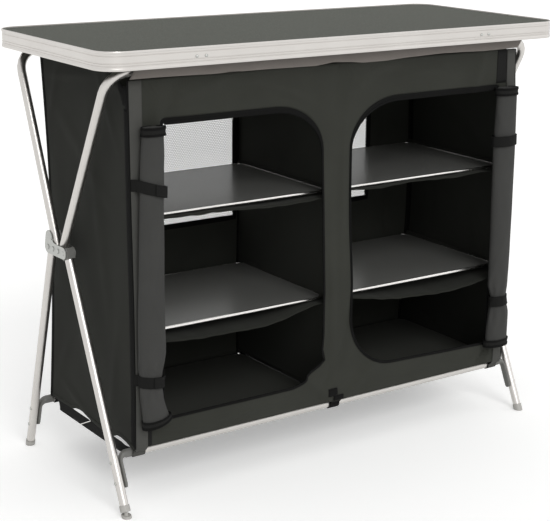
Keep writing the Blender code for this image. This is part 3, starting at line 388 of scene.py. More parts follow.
def moulded(name, colour, roughness, grain_mm):
    """Moulded plastic: an even colour, a fine grain that scatters the gloss, and handling wear."""
    material, tree, shader = start_material(name, ("IOR", 1.53))
    place = add_node(tree, "TexCoord")
    grain = add_node(tree, "TexNoise", (), [("Vector", place.outputs["Object"]),
                                            ("Scale", 1.0 / (grain_mm * MM)), ("Detail", 2.0)])
    wear = add_node(tree, "TexNoise", (), [("Vector", place.outputs["Object"]),
                                           ("Scale", 1.0 / (WEAR_MM * MM)), ("Detail", 5.0)])
    tone = add_node(tree, "Mix", [("data_type", "RGBA")],
                    [(0, wear.outputs[0]), (6, linear(colour[0])), (7, linear(colour[1]))])
    tree.links.new(tone.outputs[2], shader.inputs["Base Color"])
    gloss = add_node(tree, "MapRange", (), [(0, wear.outputs[0]), (1, 0.35), (2, 0.65),
                                            (3, roughness[0]), (4, roughness[1])])
    tree.links.new(gloss.outputs[0], shader.inputs["Roughness"])
    bump = add_node(tree, "Bump", (), [("Strength", 0.4), ("Distance", 0.06 * MM),
                                       ("Height", grain.outputs[0])])
    tree.links.new(bump.outputs[0], shader.inputs["Normal"])
    return material


def speckled(name, ground, specks, speck_mm, roughness, gloss):
    """Laminate: a ground colour with small dark and pale specks where cell noise passes a level."""
    material, tree, shader = start_material(name, ("Roughness", roughness), ("IOR", 1.5),
                                            ("Specular IOR Level", gloss))
    place = add_node(tree, "TexCoord")
    colour = linear(ground)
    for shift, speck in enumerate(specks):
        moved = add_node(tree, "Mapping", (), [("Vector", place.outputs["Object"]),
                                               ("Location", (shift * 0.37, shift * 0.11, 0.0))])
        cells = add_node(tree, "TexNoise", (), [("Vector", moved.outputs[0]),
                                                ("Scale", 1.0 / (speck_mm * MM)), ("Detail", 1.0)])
        level = add_node(tree, "MapRange", (), [(0, cells.outputs[0]), (1, 0.56), (2, 0.66),
                                                (3, 0.0), (4, 1.0)])
        tone = add_node(tree, "Mix", [("data_type", "RGBA")],
                        [(0, level.outputs[0]), (6, colour), (7, linear(speck))])
        colour = tone.outputs[2]
    tree.links.new(colour, shader.inputs["Base Color"])
    bump = add_node(tree, "Bump", (), [("Strength", 0.3), ("Distance", 0.05 * MM),
                                       ("Height", cells.outputs[0])])
    tree.links.new(bump.outputs[0], shader.inputs["Normal"])
    return material


# Nylon moulded in an eroded die: an even mid grey whose fine grain breaks the gloss.
nylon_grey = moulded("grained_grey_nylon", ("#63635f", "#737370"), (0.42, 0.58), 0.6)
# Polyethylene caps: paler, softer and a little waxy.
cap_grey = moulded("pale_moulded_polyethylene", ("#a5a39f", "#b8b6b1"), (0.35, 0.50), 0.5)
# Pressed laminate with a matt skin: one quiet grey-green from afar, with specks close by.
top_laminate = speckled("matt_speckled_laminate", "#4b4d46", ("#40423c", "#5c5e56"), 2.2, 0.70, 0.15)
# Smooth coated board: dark, yet it picks up the bright windows at a low angle.
shelf_coating = speckled("smooth_grey_board_coating", "#6c6c69", ("#666663", "#727270"), 1.6, 0.27, 0.8)
# The floor boards get a duller, darker copy of the coating; the darkness is painted shade.
shaded_floor_coating = speckled("matt_floor_coating_painted_shade", "#434440", ("#3e3f3b", "#494a46"), 1.6, 0.45, 0.4)
print("plastics and laminates:", nylon_grey.name, cap_grey.name, top_laminate.name, shelf_coating.name,
      shaded_floor_coating.name)

# %% [markdown]
# ## Woven finishes
# The cabinet is coated polyester with a plain weave of half-millimetre threads, far below one pixel
# here, so the weave is drawn at 2 mm to show at all. Webbing has coarser ribs. The weave follows the
# UV map, which is in metres. A checker chooses, thread by thread, whether the warp or the weft lies
# on top. Broad noise gives the slight unevenness of dye and handling.


# %% Woven finishes
# Dye and handling vary over patches as wide as a palm.
DYE_MM = 90.9


def woven(name, colours, thread_mm, relief_mm, roughness=0.9, sheen=0.03):
    """Plain weave: each thread is half a sine wave high, and a checker swaps warp and weft."""
    material, tree, shader = start_material(name, ("Roughness", roughness), ("Sheen Weight", sheen),
                                            ("Sheen Roughness", 0.5), ("Specular IOR Level", 0.15))
    thread = thread_mm * MM
    flat = add_node(tree, "UVMap", [("uv_map", "flat")])
    # A wave texture of scale 1 has a band every 2 pi / 20 of its coordinate.
    bands = [add_node(tree, "TexWave", [("bands_direction", way)],
                      [("Vector", flat.outputs[0]), ("Scale", math.tau / 20 / thread)]) for way in "XY"]
    check = add_node(tree, "TexChecker", (), [("Vector", flat.outputs[0]), ("Scale", 1.0 / thread)])
    height = add_node(tree, "Mix", (), [(0, check.outputs["Fac"]), (2, bands[0].outputs["Fac"]),
                                        (3, bands[1].outputs["Fac"])])
    place = add_node(tree, "TexCoord")
    broad = add_node(tree, "TexNoise", (), [("Vector", place.outputs["Object"]), ("Scale", 1.0 / (DYE_MM * MM)),
                                            ("Detail", 5.0), ("Roughness", 0.6)])
    dyed = add_node(tree, "Mix", [("data_type", "RGBA")],
                    [(0, broad.outputs[0]), (6, linear(colours[0])), (7, linear(colours[1]))])
    # Painted shade in the weave: the colour falls to 0.86 where the threads lie low and rises to 1.06 on top.
    painted_thread_shade = add_node(tree, "MapRange", (), [(0, height.outputs[0]), (3, 0.86), (4, 1.06)])
    tone = add_node(tree, "Mix", [("data_type", "RGBA"), ("blend_type", "MULTIPLY")],
                    [(0, 1.0), (6, dyed.outputs[2]), (7, painted_thread_shade.outputs[0])])
    tree.links.new(tone.outputs[2], shader.inputs["Base Color"])
    bump = add_node(tree, "Bump", (), [("Strength", 0.6), ("Distance", relief_mm * MM),
                                       ("Height", height.outputs[0])])
    tree.links.new(bump.outputs[0], shader.inputs["Normal"])
    return material


# Coated polyester: a matt dark grey, faintly green, with a soft relief of threads.
front_weave = woven("coated_polyester_grey", ("#30312c", "#3b3c37"), 2.0, 0.15)
# Painted shade: a darker copy of the same cloth for the walls and slings, so only its folds show.
shaded_side_weave = woven("coated_polyester_painted_shade", ("#252622", "#2d2e2a"), 2.0, 0.15)
# Painted light: a lighter copy of the cloth for the inside walls, since little light reaches them.
lightened_inner_weave = woven("coated_polyester_inner_wall_painted_light", ("#2d2e2a", "#373833"), 2.0, 0.15)
# The rolled doors show a more neutral grey, paler where they face the light.
roll_weave = woven("rolled_polyester_grey", ("#3b3b3a", "#464644"), 2.0, 0.15)
# Knitted zip tape: dark and flat, without sheen.
zip_weave = woven("dark_zip_tape", ("#1a1a19", "#222221"), 1.6, 0.2, 0.9, 0.0)
# Grey seam tape: a paler upright line down each corner.
strip_weave = woven("grey_seam_tape", ("#484845", "#535350"), 1.6, 0.2)
# Taupe band with close ribs: a warm pale edge under the rim.
band_weave = woven("taupe_webbing_band", ("#7f7974", "#8b8580"), 1.6, 0.2)
# Black nylon webbing: coarse ribs that break up its edge.
strap_weave = woven("black_webbing", ("#121211", "#1a1a19"), 2.4, 0.3, 0.85, 0.0)
# Black binding tape: the darkest line of all, without shine.
tape_weave = woven("black_binding_tape", ("#0a0a0a", "#111110"), 1.6, 0.2, 0.9, 0.0)
# White knitted net: bright threads with dark between them.
net_thread = woven("white_mesh_thread", ("#ecebe8", "#f4f3f0"), 0.8, 0.05, 0.7, 0.05)
WOVEN = (front_weave, shaded_side_weave, lightened_inner_weave, roll_weave, zip_weave, strip_weave, band_weave, strap_weave,
         tape_weave, net_thread)
print("woven finishes:", ", ".join(finish.name for finish in WOVEN))

# %% [markdown]
# ## Dressing the rigid nodes
# The tubes, plates, clips and boards arrive from the CAD as loose flat triangles with the right
# shape. They stay where they are. A weld joins their triangles, a small bevel rounds every hard edge
# as tumbling and moulding do, and smooth shading hides the flats. Rebuilding them would only repeat
# the CAD.

# %% Dress the rigid nodes
RIGID = {
    "upper_frame_": (tube_metal, 0.3), "lower_leg_": (tube_metal, 0.3), "low_bar_": (tube_metal, 0.3),
    "hub_plate_": (zinc_metal, 0.35), "hub_rivet_": (zinc_metal, 0.4), "front_pivot_": (zinc_metal, 0.4),
    "rear_pivot_": (zinc_metal, 0.4), "hub_knuckle_": (nylon_grey, 0.8), "elbow_": (nylon_grey, 0.6),
    "foot_": (cap_grey, 0.6), "levelling_foot": (cap_grey, 0.6), "front_clip_": (nylon_grey, 0.6),
    "hinge_clamp_": (nylon_grey, 0.6), "tabletop_board": (top_laminate, 0.3),
    "board_floor_": (shaded_floor_coating, 0.3), "board_": (shelf_coating, 0.3),
}


def dress(node, material, bevel_mm):
    """Welds a node's triangles, rounds edges sharper than 35 degrees by bevel_mm and shades smooth."""
    mesh = node.data
    mesh.materials.clear()
    mesh.materials.append(material)
    if "custom_normal" in mesh.attributes:
        mesh.attributes.remove(mesh.attributes["custom_normal"])
    mesh.polygons.foreach_set("use_smooth", np.ones(len(mesh.polygons), bool))
    weld = node.modifiers.new("weld", "WELD")
    weld.merge_threshold = 1e-5
    bevel = node.modifiers.new("edge", "BEVEL")
    bevel.width = bevel_mm * MM
    bevel.segments = 2
    bevel.limit_method = "ANGLE"
    bevel.angle_limit = math.radians(35.0)
    bevel.harden_normals = True


dressed = 0
for name, node in sorted(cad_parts.items()):
    for start, (material, bevel_mm) in RIGID.items():
        if name.startswith(start):
            dress(node, material, bevel_mm)
            dressed += 1
            break
print("dressed", dressed, "rigid nodes")

# %% [markdown]
# ## Rim
# The rim is one extrusion bent round the board: a bead at the top and bottom, a shallow recess with
# fine ribs between them, and flanges inside that hold the board and stiffen the edge. A profile
# carried round a rounded rectangle gives the real section. A bevelled box would lose the ribs that
# catch the light along the front.

# %% Rim extrusion
TOP_HALF_X, TOP_HALF_Y = 0.500, 0.2065
RIM_CORNER = 0.040
RIM_LOW = 0.774
# The section as (depth in from the outer face, height), in millimetres from the rim's foot.
RIM_SECTION = np.array([
    (2.1, 29.8), (2.1, 31.4), (1.7, 31.9), (0.9, 32.0), (0.3, 31.7), (0.0, 31.0), (0.0, 28.6), (0.25, 28.0),
    (0.8, 27.6), (0.8, 24.8), (1.5, 24.4), (1.5, 23.6), (0.8, 23.2), (0.8, 13.0), (1.6, 12.6), (1.6, 11.6),
    (0.8, 11.2), (0.8, 9.0), (1.6, 8.6), (1.6, 7.6), (0.8, 7.2), (0.8, 5.4), (0.25, 5.0), (0.0, 4.4),
    (0.0, 1.2), (0.3, 0.4), (0.9, 0.0), (8.0, 0.0), (8.0, 1.6), (2.0, 1.6), (2.0, 21.7), (10.0, 21.7),
    (10.0, 23.3), (2.1, 23.3)]) * MM


def rounded_rectangle(half_x, half_y, radius, steps=10):
    """Corner middles plus radius times (cos, sin), a quarter turn at each corner, in order."""
    turn = np.radians(np.add.outer(np.arange(4) * 90.0, np.linspace(0.0, 90.0, steps))).ravel()
    sign_x = np.repeat((1, -1, -1, 1), steps)
    sign_y = np.repeat((1, 1, -1, -1), steps)
    return np.stack((sign_x * (half_x - radius) + radius * np.cos(turn),
                     sign_y * (half_y - radius) + radius * np.sin(turn)), axis=-1)


def rim_points():
    """For each section point, the rounded rectangle drawn in by its depth, at its height."""
    rings = [rounded_rectangle(TOP_HALF_X - d, TOP_HALF_Y - d, RIM_CORNER - d) for d, _ in RIM_SECTION]
    rings = np.stack(rings, axis=1)
    heights = np.broadcast_to(RIM_LOW + RIM_SECTION[:, 1], rings.shape[:2])
    return np.concatenate((rings, heights[..., None]), axis=-1)


rim = build("rim_extrusion", rim_points(), rim_metal, ring=True, loop=True, solid=True, sharp=35)
fit(rim, "worktop", ["table_rim"])
print("rim:", len(rim.data.polygons), "faces,", len(RIM_SECTION), "points in its section")

# %% [markdown]
# ## Rivet heads
# Small domed heads close every rivet: pairs on the rim's front where the hidden braces sit, one
# pair low on each leg through its elbow, and the pins of the hubs. A head is a profile turned about
# the rivet's axis. A ready-made sphere pushed half into the tube would need more faces for less
# shape. The heads are too small for the CAD to matter, yet they tell how the table is made.


# %% Rivet heads
def heads(places, axis, radius, height, sides=16):
    """Domes: at angle t from 90 to 0 degrees the ring has radius cos t and height sin t, on a skirt."""
    axis = np.asarray(axis, float) / np.linalg.norm(axis)
    side = np.cross(axis, (0.0, 0.0, 1.0) if abs(axis[2]) < 0.9 else (1.0, 0.0, 0.0))
    side /= np.linalg.norm(side)
    turn = np.linspace(0.0, math.tau, sides, endpoint=False)
    rise = np.radians(np.linspace(90.0, 0.0, 5))
    width = np.concatenate((radius * np.cos(rise), [radius, 0.0]))
    level = np.concatenate((height * np.sin(rise), [-0.3 * height, -0.3 * height]))
    circle = np.cos(turn)[:, None] * side + np.sin(turn)[:, None] * np.cross(axis, side)
    dome = width[:, None, None] * circle[None] + level[:, None, None] * axis
    return np.asarray(places, float)[:, None, None] + dome[None]


HANDS = {-1: "left", 1: "right"}
RIM_RIVET_X, RIM_RIVET_PITCH, RIM_RIVET_Z = {-1: -0.319, 1: 0.306}, 0.009, 0.7900
RIM_RECESS = 0.8 * MM
LEG_X = 0.4655
TUBE_R = 0.008
# Radius and height of a head on the rim, on a leg and on a hub.
RIM_HEAD, LEG_HEAD, HUB_HEAD = (0.0030, 0.0021), (0.0034, 0.0016), (0.0042, 0.0016)
places = [(RIM_RIVET_X[side] + step * RIM_RIVET_PITCH, -TOP_HALF_Y + RIM_RECESS, RIM_RIVET_Z)
          for side in HANDS for step in (-1, 1)]
rim_rivets = build("rim_rivets", heads(places, -ALONG_Y, *RIM_HEAD), zinc_metal, ring=True, solid=True)
fit(rim_rivets, "worktop")
print("rim rivets:", len(places))

# %% Leg and hub rivets
# Lower and upper end of each leg's middle line, as (y, z).
FRONT_LEG = ((-0.193, 0.0), (0.006, 0.429))
REAR_LEG = ((0.193, 0.0), (0.0645, 0.429))


def on_leg(leg, height):
    """The (y, z) point of a leg's middle line at a height."""
    (y0, z0), (y1, z1) = leg
    return y0 + (y1 - y0) * (height - z0) / (z1 - z0), height


for end, leg, body, levels in (("front", FRONT_LEG, "frame", (0.055, 0.088)),
                               ("rear", REAR_LEG, "rear_lower_frame", (0.049, 0.084))):
    for side, hand in HANDS.items():
        places = [(side * (LEG_X + TUBE_R), *on_leg(leg, z)) for z in levels]
        rivets = build(f"leg_rivets_{end}_{hand}", heads(places, side * ALONG_X, *LEG_HEAD), zinc_metal,
                       ring=True, solid=True)
        fit(rivets, body)

HUB_HEADS = ((0.006, 0.429), (0.0535, 0.4495))
PLATE_FACE = 0.0103
for side, hand in HANDS.items():
    for face, name in ((1, "outer"), (-1, "inner")):
        places = [(side * (LEG_X + face * PLATE_FACE), y, z) for y, z in HUB_HEADS]
        pins = build(f"hub_heads_{name}_{hand}", heads(places, side * face * ALONG_X, *HUB_HEAD),
                     zinc_metal, ring=True, solid=True)
        fit(pins, "frame")
print("leg and hub rivets: 8 and 8")

# %% [markdown]
# ## Board edges
# A bright aluminium channel is pressed round every shelf board. It is a small section carried round
# the board's own outline, which follows the CAD board exactly because it is measured from it. A
# bright material on the board's own edge would be simpler, but the lip over the top would be lost.
# The floor boards show no bright edge in the picture, so theirs gets the floor's painted shade too.

# %% Board edges
BOARD_CORNER = 0.018
EDGE_OUT, EDGE_LAP, EDGE_WALL = 1.3 * MM, 2.6 * MM, 0.5 * MM


def edge_channel(node):
    """A channel round a board: outside it by EDGE_OUT, lapping over its top and under its foot."""
    low, high = (np.array(v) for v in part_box(node))
    half = (high - low) / 2
    middle = (high + low) / 2
    slack = 0.1 * MM
    section = [(-EDGE_LAP, -slack), (-EDGE_LAP, -EDGE_WALL), (EDGE_OUT * 0.4, -EDGE_WALL),
               (EDGE_OUT, EDGE_WALL), (EDGE_OUT, 2 * half[2] - EDGE_WALL),
               (EDGE_OUT * 0.4, 2 * half[2] + EDGE_WALL), (-EDGE_LAP, 2 * half[2] + EDGE_WALL),
               (-EDGE_LAP, 2 * half[2] + slack), (slack, 2 * half[2] + slack), (slack, -slack)]
    rings = np.stack([rounded_rectangle(half[0] + d, half[1] + d, BOARD_CORNER + d) for d, _ in section], 1)
    heights = np.broadcast_to(low[2] + np.array(section)[:, 1], rings.shape[:2])
    return np.concatenate((rings + middle[:2], heights[..., None]), axis=-1)


for level in ("upper", "middle", "floor"):
    # The floor boards' channels take the floor's darker coating, as painted shade, not bright metal.
    finish = shaded_floor_coating if level == "floor" else edge_metal
    for hand in HANDS.values():
        node = f"board_{level}_{hand}"
        channel = build(f"board_edge_{level}_{hand}", edge_channel(node), finish, ring=True, loop=True,
                        solid=True, sharp=50)
        fit(channel, f"{level}_boards")
print("board edges: 6, standing out", round(EDGE_OUT / MM, 1), "mm")

# %% [markdown]
# ## The cabinet's sizes
# The cloth cabinet hangs between the two top bars and stands over the two low ones. Its width, its
# faces and its hem were measured with the camera found above, and every later piece is placed from
# them. Placing each piece by eye would be quicker, but they would drift apart at the first change.

# %% Sizes of the cabinet
CAB_HALF = 0.4315
FRONT_Y, BACK_Y = -0.1660, 0.1615
HEM_Z, PANEL_TOP_Z, CLOTH_TOP_Z = 0.109, 0.7525, 0.770
MIDDLE_X = -0.0045
CLOTH_T = 0.0011
# A stretched sheet's cut is a little smaller than its area, since it gives as it is pulled tight.
print("cabinet:", 2 * CAB_HALF, "m wide and", round(BACK_Y - FRONT_Y, 4), "m deep")

# %% [markdown]
# ## Leaning edges
# No edge of the cloth is quite straight: it draws in where it is slack and stands out where a tie or
# a bar pulls it. A table of shifts against height, read off the picture, leans the whole sheet, and
# all that is sewn to it leans by the same function. A lattice would bend it too, but not by numbers.

# %% Leaning edges
CALM_X = 0.377
# How far the cloth's edge stands outside CAB_HALF at heights from its hem up, read off the picture.
EDGE_LEAN = {-1: np.array([(0.109, -0.0014), (0.200, -0.0028), (0.381, -0.0020), (0.555, 0.0007),
                           (0.746, 0.0029)]),
             1: np.array([(0.109, -0.0032), (0.150, -0.0030), (0.200, 0.0000), (0.252, -0.0006),
                          (0.279, 0.0004), (0.310, 0.0024), (0.352, 0.0034), (0.450, 0.0036),
                          (0.550, 0.0028), (0.600, 0.0012), (0.650, -0.0030), (0.700, -0.0075),
                          (0.7525, -0.0095)])}
# The strip between the doors isn't straight: its shift to the right against height.
POST_LEAN = np.array([(0.109, 0.0), (0.150, 0.003), (0.250, 0.008), (0.330, 0.008), (0.450, 0.001),
                      (0.600, -0.0035), (0.680, -0.003), (0.7525, 0.0)])
POST_REACH = 0.20


def lean(x, z):
    """Sideways shift of the cloth, eased by s s (3 - 2 s): the edges' own outside the doors, and the
    post's own in the middle."""
    s = np.clip((np.abs(x) - CALM_X) / (CAB_HALF - CALM_X), 0.0, 1.0)
    left, right = (np.interp(z, EDGE_LEAN[side][:, 0], EDGE_LEAN[side][:, 1]) for side in (-1, 1))
    m = np.clip(1 - np.abs(x) / POST_REACH, 0.0, 1.0)
    post = np.interp(z, POST_LEAN[:, 0], POST_LEAN[:, 1]) * m * m * (3 - 2 * m)
    return np.where(x < 0, -left, right) * s * s * (3 - 2 * s) + post


print("the left edge leans out by up to", EDGE_LEAN[-1][:, 1].max() / MM, "mm")

# %% [markdown]
# ## Folds
# Pull lines run from the corners and ties where the cloth is held. Each one is a long soft ridge from
# a row of a short table, and the sheet adds them all up. Sculpting would look as good, but a row can
# be read, moved and changed.


# %% Folds
def ridges(a, b, table):
    """Sum of long soft ridges. Each row gives the middle (a, b), the direction in degrees, the length,
    the width and the height: height * exp(-(across / width)^2 - (along / length)^2)."""
    total = np.zeros(np.shape(a))
    for middle_a, middle_b, way, length, width, height in table:
        way = math.radians(way)
        along = (a - middle_a) * math.cos(way) + (b - middle_b) * math.sin(way)
        across = (b - middle_b) * math.cos(way) - (a - middle_a) * math.sin(way)
        total = total + height * np.exp(-(across / width) ** 2 - (along / length) ** 2)
    return total


FRONT_FOLDS = [
    (-0.382, 0.705, 84, 0.050, 0.011, 0.0040), (-0.350, 0.720, 70, 0.045, 0.010, -0.0026),
    (-0.300, 0.728, 18, 0.080, 0.010, 0.0030), (-0.250, 0.710, 12, 0.110, 0.013, -0.0026),
    (-0.150, 0.722, -14, 0.080, 0.011, 0.0032), (-0.090, 0.700, -26, 0.070, 0.013, 0.0030),
    (-0.004, 0.700, 90, 0.050, 0.018, -0.0024), (0.060, 0.722, 25, 0.060, 0.011, 0.0028),
    (0.130, 0.730, 6, 0.080, 0.010, -0.0022), (0.220, 0.722, -8, 0.110, 0.012, 0.0028),
    (0.330, 0.715, 70, 0.045, 0.010, 0.0030), (0.010, 0.520, 88, 0.120, 0.009, 0.0018),
    (-0.016, 0.300, 92, 0.110, 0.009, 0.0018), (0.016, 0.230, 80, 0.070, 0.009, -0.0016),
    (-0.050, 0.150, -38, 0.060, 0.010, 0.0032), (-0.020, 0.160, 60, 0.050, 0.010, -0.0022),
    (0.060, 0.142, 36, 0.070, 0.011, 0.0030), (-0.230, 0.128, 4, 0.090, 0.007, 0.0024),
    (-0.340, 0.130, -12, 0.050, 0.007, 0.0024), (0.260, 0.128, -3, 0.090, 0.007, 0.0024),
    (0.392, 0.132, 68, 0.026, 0.005, 0.0040), (0.376, 0.128, 50, 0.024, 0.005, -0.0034),
]
# The folds stand out a little more than their table says.
FRONT_FOLD_GAIN = 1.3
# They die away over this distance from the corner tapes.
FOLD_FADE = 0.040
# Length and height of the slow waves between them.
WAVE_LONG, WAVE_HIGH = 0.155, 0.0014


def front_depth(x, z):
    """Shallow upright waves, strongest half way up and gone at the corner tapes, plus the folds."""
    low = np.clip((z - HEM_Z) / (PANEL_TOP_Z - HEM_Z), 0.0, 1.0)
    reach = np.clip((CALM_X + 0.02 - np.abs(x)) / WAVE_LONG, 0.0, 1.0)
    wave = WAVE_HIGH * np.sin(math.pi * low) * reach * np.sin(math.tau * (x + z / 2) / WAVE_LONG)
    calm = np.clip((CAB_HALF - np.abs(x)) / FOLD_FADE, 0.0, 1.0)
    return FRONT_Y - wave - calm * FRONT_FOLD_GAIN * ridges(x, z, FRONT_FOLDS)


print("folds in the front cloth:", len(FRONT_FOLDS))

# %% [markdown]
# ## Front cloth
# The front is one cloth with two door openings, sewn to the corner tapes and hung from the front
# bar. Each half is a ring-shaped grid: one parameter runs round the opening, the other from the
# opening out to the cloth's edge, so the cut follows the curved corners exactly. Cutting the holes
# with a boolean would leave ragged triangles along every curve.

# %% Door openings
DOOR_OUT_X, DOOR_IN_GAP = {-1: 0.377, 1: 0.386}, 0.0300
SILL_Z, HEAD_Z = 0.152, 0.6845
# Corner sizes of an opening as (width, height): sill and head, on the middle side, and outside.
SILL_ARC = {-1: (0.070, 0.085), 1: (0.112, 0.120)}
HEAD_ARC = (0.110, 0.088)
SQUARE_ARC = (0.006, 0.006)
SILL_PULL = 0.012
# Height of the middle, half height and push along x of each part of the left opening's corner fold.
CORNER_FOLD = ((0.196, 0.013, 0.014), (0.1725, 0.007, -0.009))
ROUND_POINTS, RINGS_OUT = 44, 18


def door_line(side, count=ROUND_POINTS):
    """The opening's edge as four runs of (x, z) points, each from corner middle to corner middle.

    A corner is a quarter ellipse; a run is two half corners and the straight between, read off at
    even steps of its length."""
    inner, outer = MIDDLE_X + side * DOOR_IN_GAP, side * DOOR_OUT_X[side]
    corners = ((inner, SILL_Z, SILL_ARC[side], side, 1), (outer, SILL_Z, SQUARE_ARC, -side, 1),
               (outer, HEAD_Z, SQUARE_ARC, -side, -1), (inner, HEAD_Z, HEAD_ARC, side, -1))
    turn = np.radians(np.linspace(0.0, 90.0, 25))
    arcs = [np.stack((x + way * w * (1 - np.cos(turn)), z + rise * h * (1 - np.sin(turn))), axis=-1)
            for x, z, (w, h), way, rise in corners]
    first, second, third, fourth = arcs
    runs = (np.concatenate((first[12:], second[:11:-1])), np.concatenate((second[12::-1], third[:13])),
            np.concatenate((third[12:], fourth[:11:-1])), np.concatenate((fourth[12::-1], first[:13])))
    line = []
    for run in runs:
        length = np.concatenate(([0.0], np.cumsum(np.linalg.norm(np.diff(run, axis=0), axis=1))))
        at = np.linspace(0.0, length[-1], count, endpoint=False)
        line.append(np.stack((np.interp(at, length, run[:, 0]), np.interp(at, length, run[:, 1])), -1))
    line = np.concatenate(line)
    if side > 0:
        # The right sill is pulled up towards the middle.
        rise = SILL_PULL * (outer - line[:, 0]) / (outer - inner)
        line[:, 1] += rise * np.exp(-((line[:, 1] - SILL_Z) / 0.08) ** 2)
    else:
        # A fold in the left opening's lower corner pushes its edge out above and in below.
        near = np.clip((line[:, 0] - inner + 0.09) / 0.03, 0.0, 1.0)
        for z, reach, push in CORNER_FOLD:
            line[:, 0] += push * near * np.exp(-((line[:, 1] - z) / reach) ** 2)
    return line


def panel_edge(side, count=ROUND_POINTS):
    """The half cloth's rectangle, with as many points as the opening and its corners in the same order."""
    corners = np.array([(MIDDLE_X, HEM_Z), (side * CAB_HALF, HEM_Z), (side * CAB_HALF, PANEL_TOP_Z),
                        (MIDDLE_X, PANEL_TOP_Z), (MIDDLE_X, HEM_Z)])
    share = np.arange(count)[:, None] / count
    return np.concatenate([a + (b - a) * share for a, b in zip(corners, corners[1:])])


print("door openings: sill", SILL_Z, "m and head", HEAD_Z, "m above the floor")

# %% Front cloth
halves = []
for side in (-1, 1):
    share = np.linspace(0.0, 1.0, RINGS_OUT)[:, None, None]
    flat = door_line(side)[None] * (1 - share) + panel_edge(side)[None] * share
    flat = flat if side > 0 else flat[:, ::-1]
    x, z = flat[..., 0], flat[..., 1]
    halves.append(np.stack((x + lean(x, z), front_depth(x, z), z), axis=-1))
front_cloth = thicken(build("front_cloth", np.stack(halves), front_weave, ring=True), CLOTH_T)
fit(front_cloth, "frame", ["front_panel"], soft=True)

# %% [markdown]
# ## Zips and bindings
# A black zip tape is sewn round every opening, and it reads as a dark outline in the picture. It is
# a flat tape section swept along the opening's own edge, just in front of the cloth. Painting a
# dark line on the cloth would be simpler, but the tape has thickness and catches a thin highlight.


# %% Door bindings
def around(line):
    """Unit vectors across a closed (x, z) line, pointing away from the opening it surrounds."""
    step = np.roll(line, -1, axis=0) - np.roll(line, 1, axis=0)
    step /= np.linalg.norm(step, axis=1, keepdims=True)
    across = np.stack((step[:, 1], -step[:, 0]), axis=-1)
    middle = line.mean(axis=0)
    flip = np.sign(((line - middle) * across).sum(axis=1).mean())
    return across * flip


def tape_round(line, width, shift, lift, thick, depth):
    """A tape of a width, or one for each point, its middle shift outside the line and lift in front."""
    across = around(line)
    path = line + across * np.reshape(shift, (-1, 1))
    place = np.stack((path[:, 0], depth(path[:, 0], path[:, 1]) - lift, path[:, 1]), axis=-1)
    sides = np.stack((across[:, 0], np.zeros(len(line)), across[:, 1]), axis=-1)
    return sweep(place, sides * np.reshape(width, (-1, 1)), -ALONG_Y, tape_profile(1.0, thick))


# Binding widths, down the sides, along the sill and along the head, where the zip is doubled.
BIND_SIDE, BIND_SILL, BIND_HEAD = 0.0040, 0.0052, 0.0108
# Each tape's share of that width, its middle in shares of it and in metres, its lift and thickness.
ZIP_TAPES = {"door_zip": (1.0, -0.5, 0.0006, 0.0003, 0.0016),
             "door_zip_teeth": (0.25, -0.7, 0.0, 0.0015, 0.0010)}
for side, hand in HANDS.items():
    line = door_line(side)
    line[:, 0] += lean(line[:, 0], line[:, 1])
    facing = around(line)[:, 1]
    width = BIND_SIDE + (BIND_HEAD - BIND_SIDE) * np.clip(facing, 0, 1)
    width = width + (BIND_SILL - BIND_SIDE) * np.clip(-facing, 0, 1)
    for name, (share, middle, aside, lift, thick) in ZIP_TAPES.items():
        tape = tape_round(line, width * share, width * middle + aside, lift, thick, front_depth)
        tape = build(f"{name}_{hand}", tape, tape_weave, ring=True, loop=True, solid=True, sharp=50)
        fit(tape, "frame", soft=True)
print("zips:", len(HANDS), "of", round(path_length(door_line(-1)), 2), "m")

# %% [markdown]
# ## Light band under the rim
# A lighter woven band covers the join between the cloth and the front bar. Its lower edge is slack,
# so it waves by a few millimetres, as the picture shows. A straight strip would look printed.

# %% Top band
BAND_Y, BAND_TOP_Z, BAND_TALL = -0.1674, 0.7736, 0.0215
# The band's ends as x at its lower and upper edge: both slope the same way.
BAND_ENDS = ((-0.4330, 0.4290), (-0.4220, 0.4400))
# Heights of the band's lower edge against x, read off the picture.
BAND_LOW = np.array([(-0.43, 0.7545), (-0.35, 0.7540), (-0.28, 0.7526), (-0.20, 0.7528), (-0.146, 0.7526),
                     (-0.06, 0.7512), (-0.021, 0.7553), (0.020, 0.7530), (0.047, 0.7500), (0.10, 0.7500),
                     (0.152, 0.7530), (0.237, 0.7550), (0.344, 0.7528), (0.43, 0.7541)])
u, v = np.meshgrid(np.linspace(0.0, 1.0, 181), np.linspace(0.0, 1.0, 9))
start, end = (BAND_ENDS[0][i] + (BAND_ENDS[1][i] - BAND_ENDS[0][i]) * v for i in (0, 1))
x = start + (end - start) * u
low = np.interp(x, BAND_LOW[:, 0], BAND_LOW[:, 1])
belly = 0.0012 * np.sin(math.pi * v) + 0.0009 * (1 - v) * np.sin(x * 61.0) * np.sin(x * 23.0 + 1.0)
band = np.stack((x, BAND_Y - 0.0004 - belly, low + (BAND_TOP_Z - low) * v), axis=-1)
top_cloth = thicken(build("light_band", band, band_weave), CLOTH_T)
fit(top_cloth, "frame", ["top_band"], soft=True)
print("band: lower edge between", BAND_LOW[:, 1].min(), "and", BAND_LOW[:, 1].max(), "m")

# %% [markdown]
# ## Side walls
# The side walls are the cloth that shows between the legs, in a darker copy: painted shade. They
# are stretched between the corner tape in front and the rear seam, which bows inwards, and their lower
# hem lifts off the webbing in two shallow arches where daylight shows through. The grid runs from
# front to back and from hem to top, and long diagonal folds lead to the corners that carry the pull.
# A cloth simulation could find such folds, but not these very ones.

# %% Side wall shape
SIDE_X = 0.4325
WALL_COLUMNS, WALL_ROWS = 73, 121
BACK_BOW, BOW_POWER = {-1: 0.024, 1: 0.016}, 16
# In front of NOTCH_Y the wall's top edge lies NOTCH_DROP lower, clear of the front bar.
NOTCH_Y, NOTCH_DROP, NOTCH_EASE = -0.138, 0.028, 0.0025
